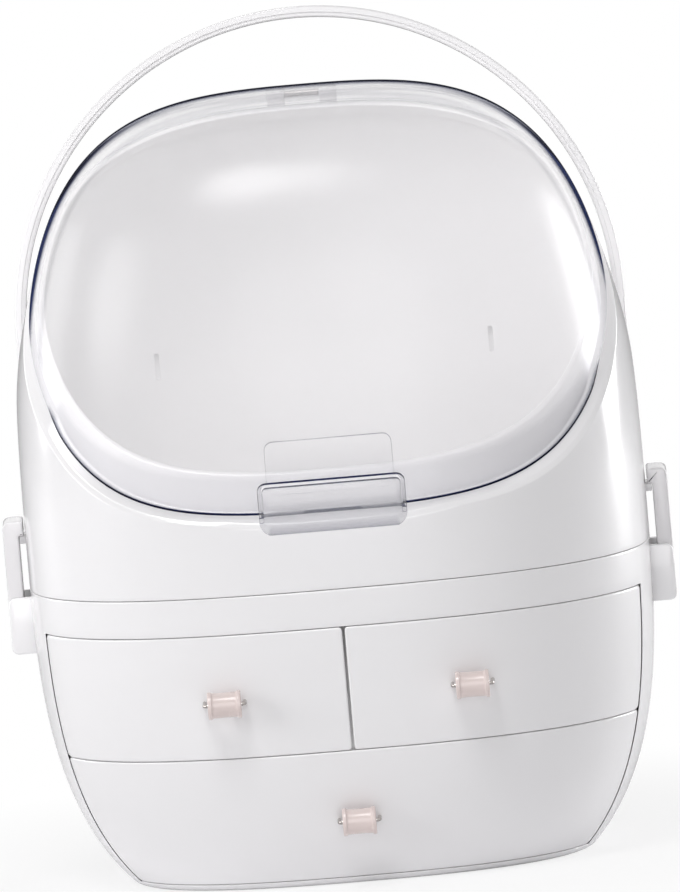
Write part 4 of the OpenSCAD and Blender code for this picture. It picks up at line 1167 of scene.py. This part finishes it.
class ORGANIZER_OT_cases(bpy.types.Operator):
    """Builds the lower and the upper case"""

    bl_idname = "organizer.cases"
    bl_label = "Cases"

    def execute(self, context):
        egg, c, l, h, s = settings(context, "case", "latch", "handle", "lid")
        lower, upper = fittings(egg, c, l, h, s)
        low = piece("lower_case_shell", lower_case(egg, c) + deck(egg, c) + lower[0], lower[1])
        dress(low, "root", "gloss_white", ["lower_case"])
        high = piece("upper_case_shell", upper_case(egg, c))
        skin_y = -egg.front(c.slot_x, c.slot_z, -SKIN)[1]
        z0, z1 = c.slot_z - c.slot_h / 2, c.slot_z + c.slot_h / 2
        for x in (-c.slot_x, c.slot_x):
            slot = box_outline(x - c.slot_w / 2, x + c.slot_w / 2, z0, z1, 0.0006)
            combine(high, piece("slot", *bar(slot, "Y", 0.02, skin_y, 0.0)), "DIFFERENCE")
        dress(high, "root", "gloss_white", ["upper_case"])
        self.line(high, c)
        dress(piece("case_fittings", *upper), "root", "gloss_white")
        return {"FINISHED"}

    def line(self, obj, c):
        """Gives the inside of the compartment its satin finish, on faces that look inwards and its floor: a
        rougher gloss, and a lighter white that is painted light for the brighter inside.
        """
        faces = obj.data.polygons
        middle, normal = read(faces, "center"), read(faces, "normal")
        inwards = (middle[:, :2] * normal[:, :2]).sum(axis=1) < 0
        floor = (middle[:, 2] < c.seam_z + c.floor_t + 0.004) & (normal[:, 2] > 0.1)
        obj.data.materials.append(bpy.data.materials["satin_white"])
        faces.foreach_set("material_index", (inwards | floor).astype(np.int32))


class ORGANIZER_OT_drawers(bpy.types.Operator):
    """Builds the three drawers"""

    bl_idname = "organizer.drawers"
    bl_label = "Drawers"

    def execute(self, context):
        egg, c, d = settings(context, "case", "drawer")
        made = {"left": upper_drawer(egg, c, d, -1), "right": upper_drawer(egg, c, d, 1),
                "wide": wide_drawer(egg, c, d)}
        for name, grids in made.items():
            body = f"drawer_{name}"
            dress(piece(f"{body}_shell", grids), body, "gloss_white", [body])
        return {"FINISHED"}


class ORGANIZER_OT_pulls(bpy.types.Operator):
    """Builds the roller pulls with their wires"""

    bl_idname = "organizer.pulls"
    bl_label = "Pulls"

    def execute(self, context):
        egg, d, p = settings(context, "drawer", "pull")
        for name, x, z in (("left", -p.upper_x, p.upper_z), ("right", p.upper_x, p.upper_z),
                           ("wide", 0.0, p.wide_z)):
            grip = piece(f"roller_{name}", roller(egg, p, x, z))
            dress(grip, f"drawer_{name}", "pale_pink", [f"pull_grip_{name}"])
            bent = piece(f"wire_{name}", wire(egg, p, d, x, z), sharp=50)
            dress(bent, f"drawer_{name}", "bright_metal", [f"pull_wire_{name}"])
        return {"FINISHED"}


class ORGANIZER_OT_lid(bpy.types.Operator):
    """Builds the clear lid"""

    bl_idname = "organizer.lid"
    bl_label = "Lid"

    def execute(self, context):
        egg, s = settings(context, "lid")
        lid = build_lid(egg, s)
        for mark, values in lid_marks(egg, s, read(lid.data.vertices, "co")).items():
            attribute = lid.data.attributes.new(mark, "FLOAT", "POINT")
            attribute.data.foreach_set("value", values.astype(np.float32))
        dress(lid, "lid", "clear_plastic", ["lid"])
        return {"FINISHED"}


class ORGANIZER_OT_handle(bpy.types.Operator):
    """Builds the bow handle and the side latches"""

    bl_idname = "organizer.handle"
    bl_label = "Handle and latches"

    def execute(self, context):
        egg, h, l = settings(context, "handle", "latch")
        dress(piece("handle_bow", *handle(egg, h)), "handle", "gloss_white", ["handle"])
        for body, side in (("latch_left", -1), ("latch_right", 1)):
            dress(piece(f"{body}_strip", *latch(egg, l, side)), body, "latch_white", [body])
        return {"FINISHED"}


def aim_at(obj, place, target, roll=0.0):
    """Puts a lamp or camera at a place, looking at the target."""
    obj.location = place
    obj.rotation_mode = "QUATERNION"
    look = (Vector(target) - Vector(place)).to_track_quat("-Z", "Y")
    obj.rotation_quaternion = look @ Quaternion((0, 0, 1), roll)


class ORGANIZER_OT_stage(bpy.types.Operator):
    """Makes the floor, the lamps, the world and the camera"""

    bl_idname = "organizer.stage"
    bl_label = "Stage"

    def execute(self, context):
        scene, g = context.scene, context.scene.organizer_stage
        self.floor()
        self.world(scene, g)
        for name, (place, width) in LAMPS.items():
            lamp = bpy.data.lights.new(f"{name}_light", "AREA")
            lamp.shape, lamp.size, lamp.energy = "DISK", width, getattr(g, name)
            obj = bpy.data.objects.new(f"{name}_light", lamp)
            scene.collection.objects.link(obj)
            aim_at(obj, place, LAMP_AIM)
        camera = bpy.data.objects.new("photo_view", bpy.data.cameras.new("photo_view"))
        scene.collection.objects.link(camera)
        az, el = g.azimuth, g.elevation
        back = Vector((math.sin(az) * math.cos(el), -math.cos(az) * math.cos(el), math.sin(el)))
        aim_at(camera, Vector(g.aim) + back * g.distance, g.aim, g.roll)
        camera.data.sensor_width = SENSOR_W
        camera.data.lens = SENSOR_W * g.distance / (g.view_w * IMAGE_H / IMAGE_W)
        camera.data.clip_start, camera.data.clip_end = 0.05, 60
        scene.camera = camera
        scene.view_settings.view_transform = "Standard"
        return {"FINISHED"}

    def floor(self):
        """A wide flat floor. The camera sees its shading near the object and plain white further off."""
        t = FLOOR_HALF * np.linspace(-1, 1, 41) ** 3
        x, y = np.meshgrid(t, t)
        floor = piece("floor", [np.stack([x, y, 0 * x - FLOOR_DROP], -1)])
        material, graph = new_material("floor_white")
        shader = graph.add("BsdfPrincipled", {"Base Color": (0.9, 0.9, 0.91, 1), "Roughness": 0.7,
                                              "Specular IOR Level": 0.2})
        length = graph.add("VectorMath", {0: graph.add("TexCoord").outputs["Object"]}, operation="LENGTH")
        far = graph.add("MapRange", {"Value": length.outputs["Value"], "From Min": 0.12, "From Max": 0.32,
                                     "To Min": 0.75, "To Max": 1.0})
        camera = graph.add("LightPath").outputs["Is Camera Ray"]
        seen = graph.calc("MULTIPLY", far.outputs["Result"], camera)
        graph.add("OutputMaterial", {"Surface": graph.mix(seen, shader, graph.add("Emission"))})
        floor.data.materials.append(material)

    def world(self, scene, g):
        """Even light from all around, seen as white by the camera, in gloss and through clear parts."""
        scene.world = bpy.data.worlds.new("studio")
        scene.world.use_nodes = True
        graph = Graph(scene.world.node_tree)
        light = graph.add("Background", {"Color": (1, 0.995, 1, 1), "Strength": g.sky})
        white = graph.add("Background", {"Color": (1, 1, 1, 1), "Strength": 1.0})
        path = graph.add("LightPath").outputs
        seen = graph.calc("MAXIMUM", path["Is Camera Ray"], path["Is Glossy Ray"])
        seen = graph.calc("MAXIMUM", seen, path["Is Transmission Ray"])
        graph.add("OutputWorld", {"Surface": graph.mix(seen, light, white)})


STEPS = ("materials", "cases", "drawers", "pulls", "lid", "handle", "stage")


class ORGANIZER_PT_panel(bpy.types.Panel):
    """Lists the steps and the values of the organizer"""

    bl_label = "Makeup organizer"
    bl_idname = "ORGANIZER_PT_panel"
    bl_space_type = "VIEW_3D"
    bl_region_type = "UI"
    bl_category = "Organizer"

    def draw(self, context):
        for step in STEPS:
            self.layout.operator(f"organizer.{step}")
        for key in GROUPS:
            box = self.layout.box()
            box.label(text=key.title())
            group = getattr(context.scene, f"organizer_{key}")
            for name in group.__annotations__:
                box.prop(group, name)


GROUPS = {"egg": EggSizes, "case": CaseSizes, "lid": LidSizes, "handle": HandleSizes, "latch": LatchSizes,
          "drawer": DrawerSizes, "pull": PullSizes, "finish": Finishes, "stage": StageSettings}
CLASSES = (*GROUPS.values(), ORGANIZER_OT_materials, ORGANIZER_OT_cases, ORGANIZER_OT_drawers,
           ORGANIZER_OT_pulls, ORGANIZER_OT_lid, ORGANIZER_OT_handle, ORGANIZER_OT_stage, ORGANIZER_PT_panel)


def register():
    for cls in CLASSES:
        bpy.utils.register_class(cls)
    for key, group in GROUPS.items():
        setattr(bpy.types.Scene, f"organizer_{key}", PointerProperty(type=group))


def unregister():
    for key in GROUPS:
        delattr(bpy.types.Scene, f"organizer_{key}")
    for cls in reversed(CLASSES):
        bpy.utils.unregister_class(cls)


def main():
    register()
    for step in STEPS:
        getattr(bpy.ops.organizer, step)()


if __name__ == "__main__":
    main()
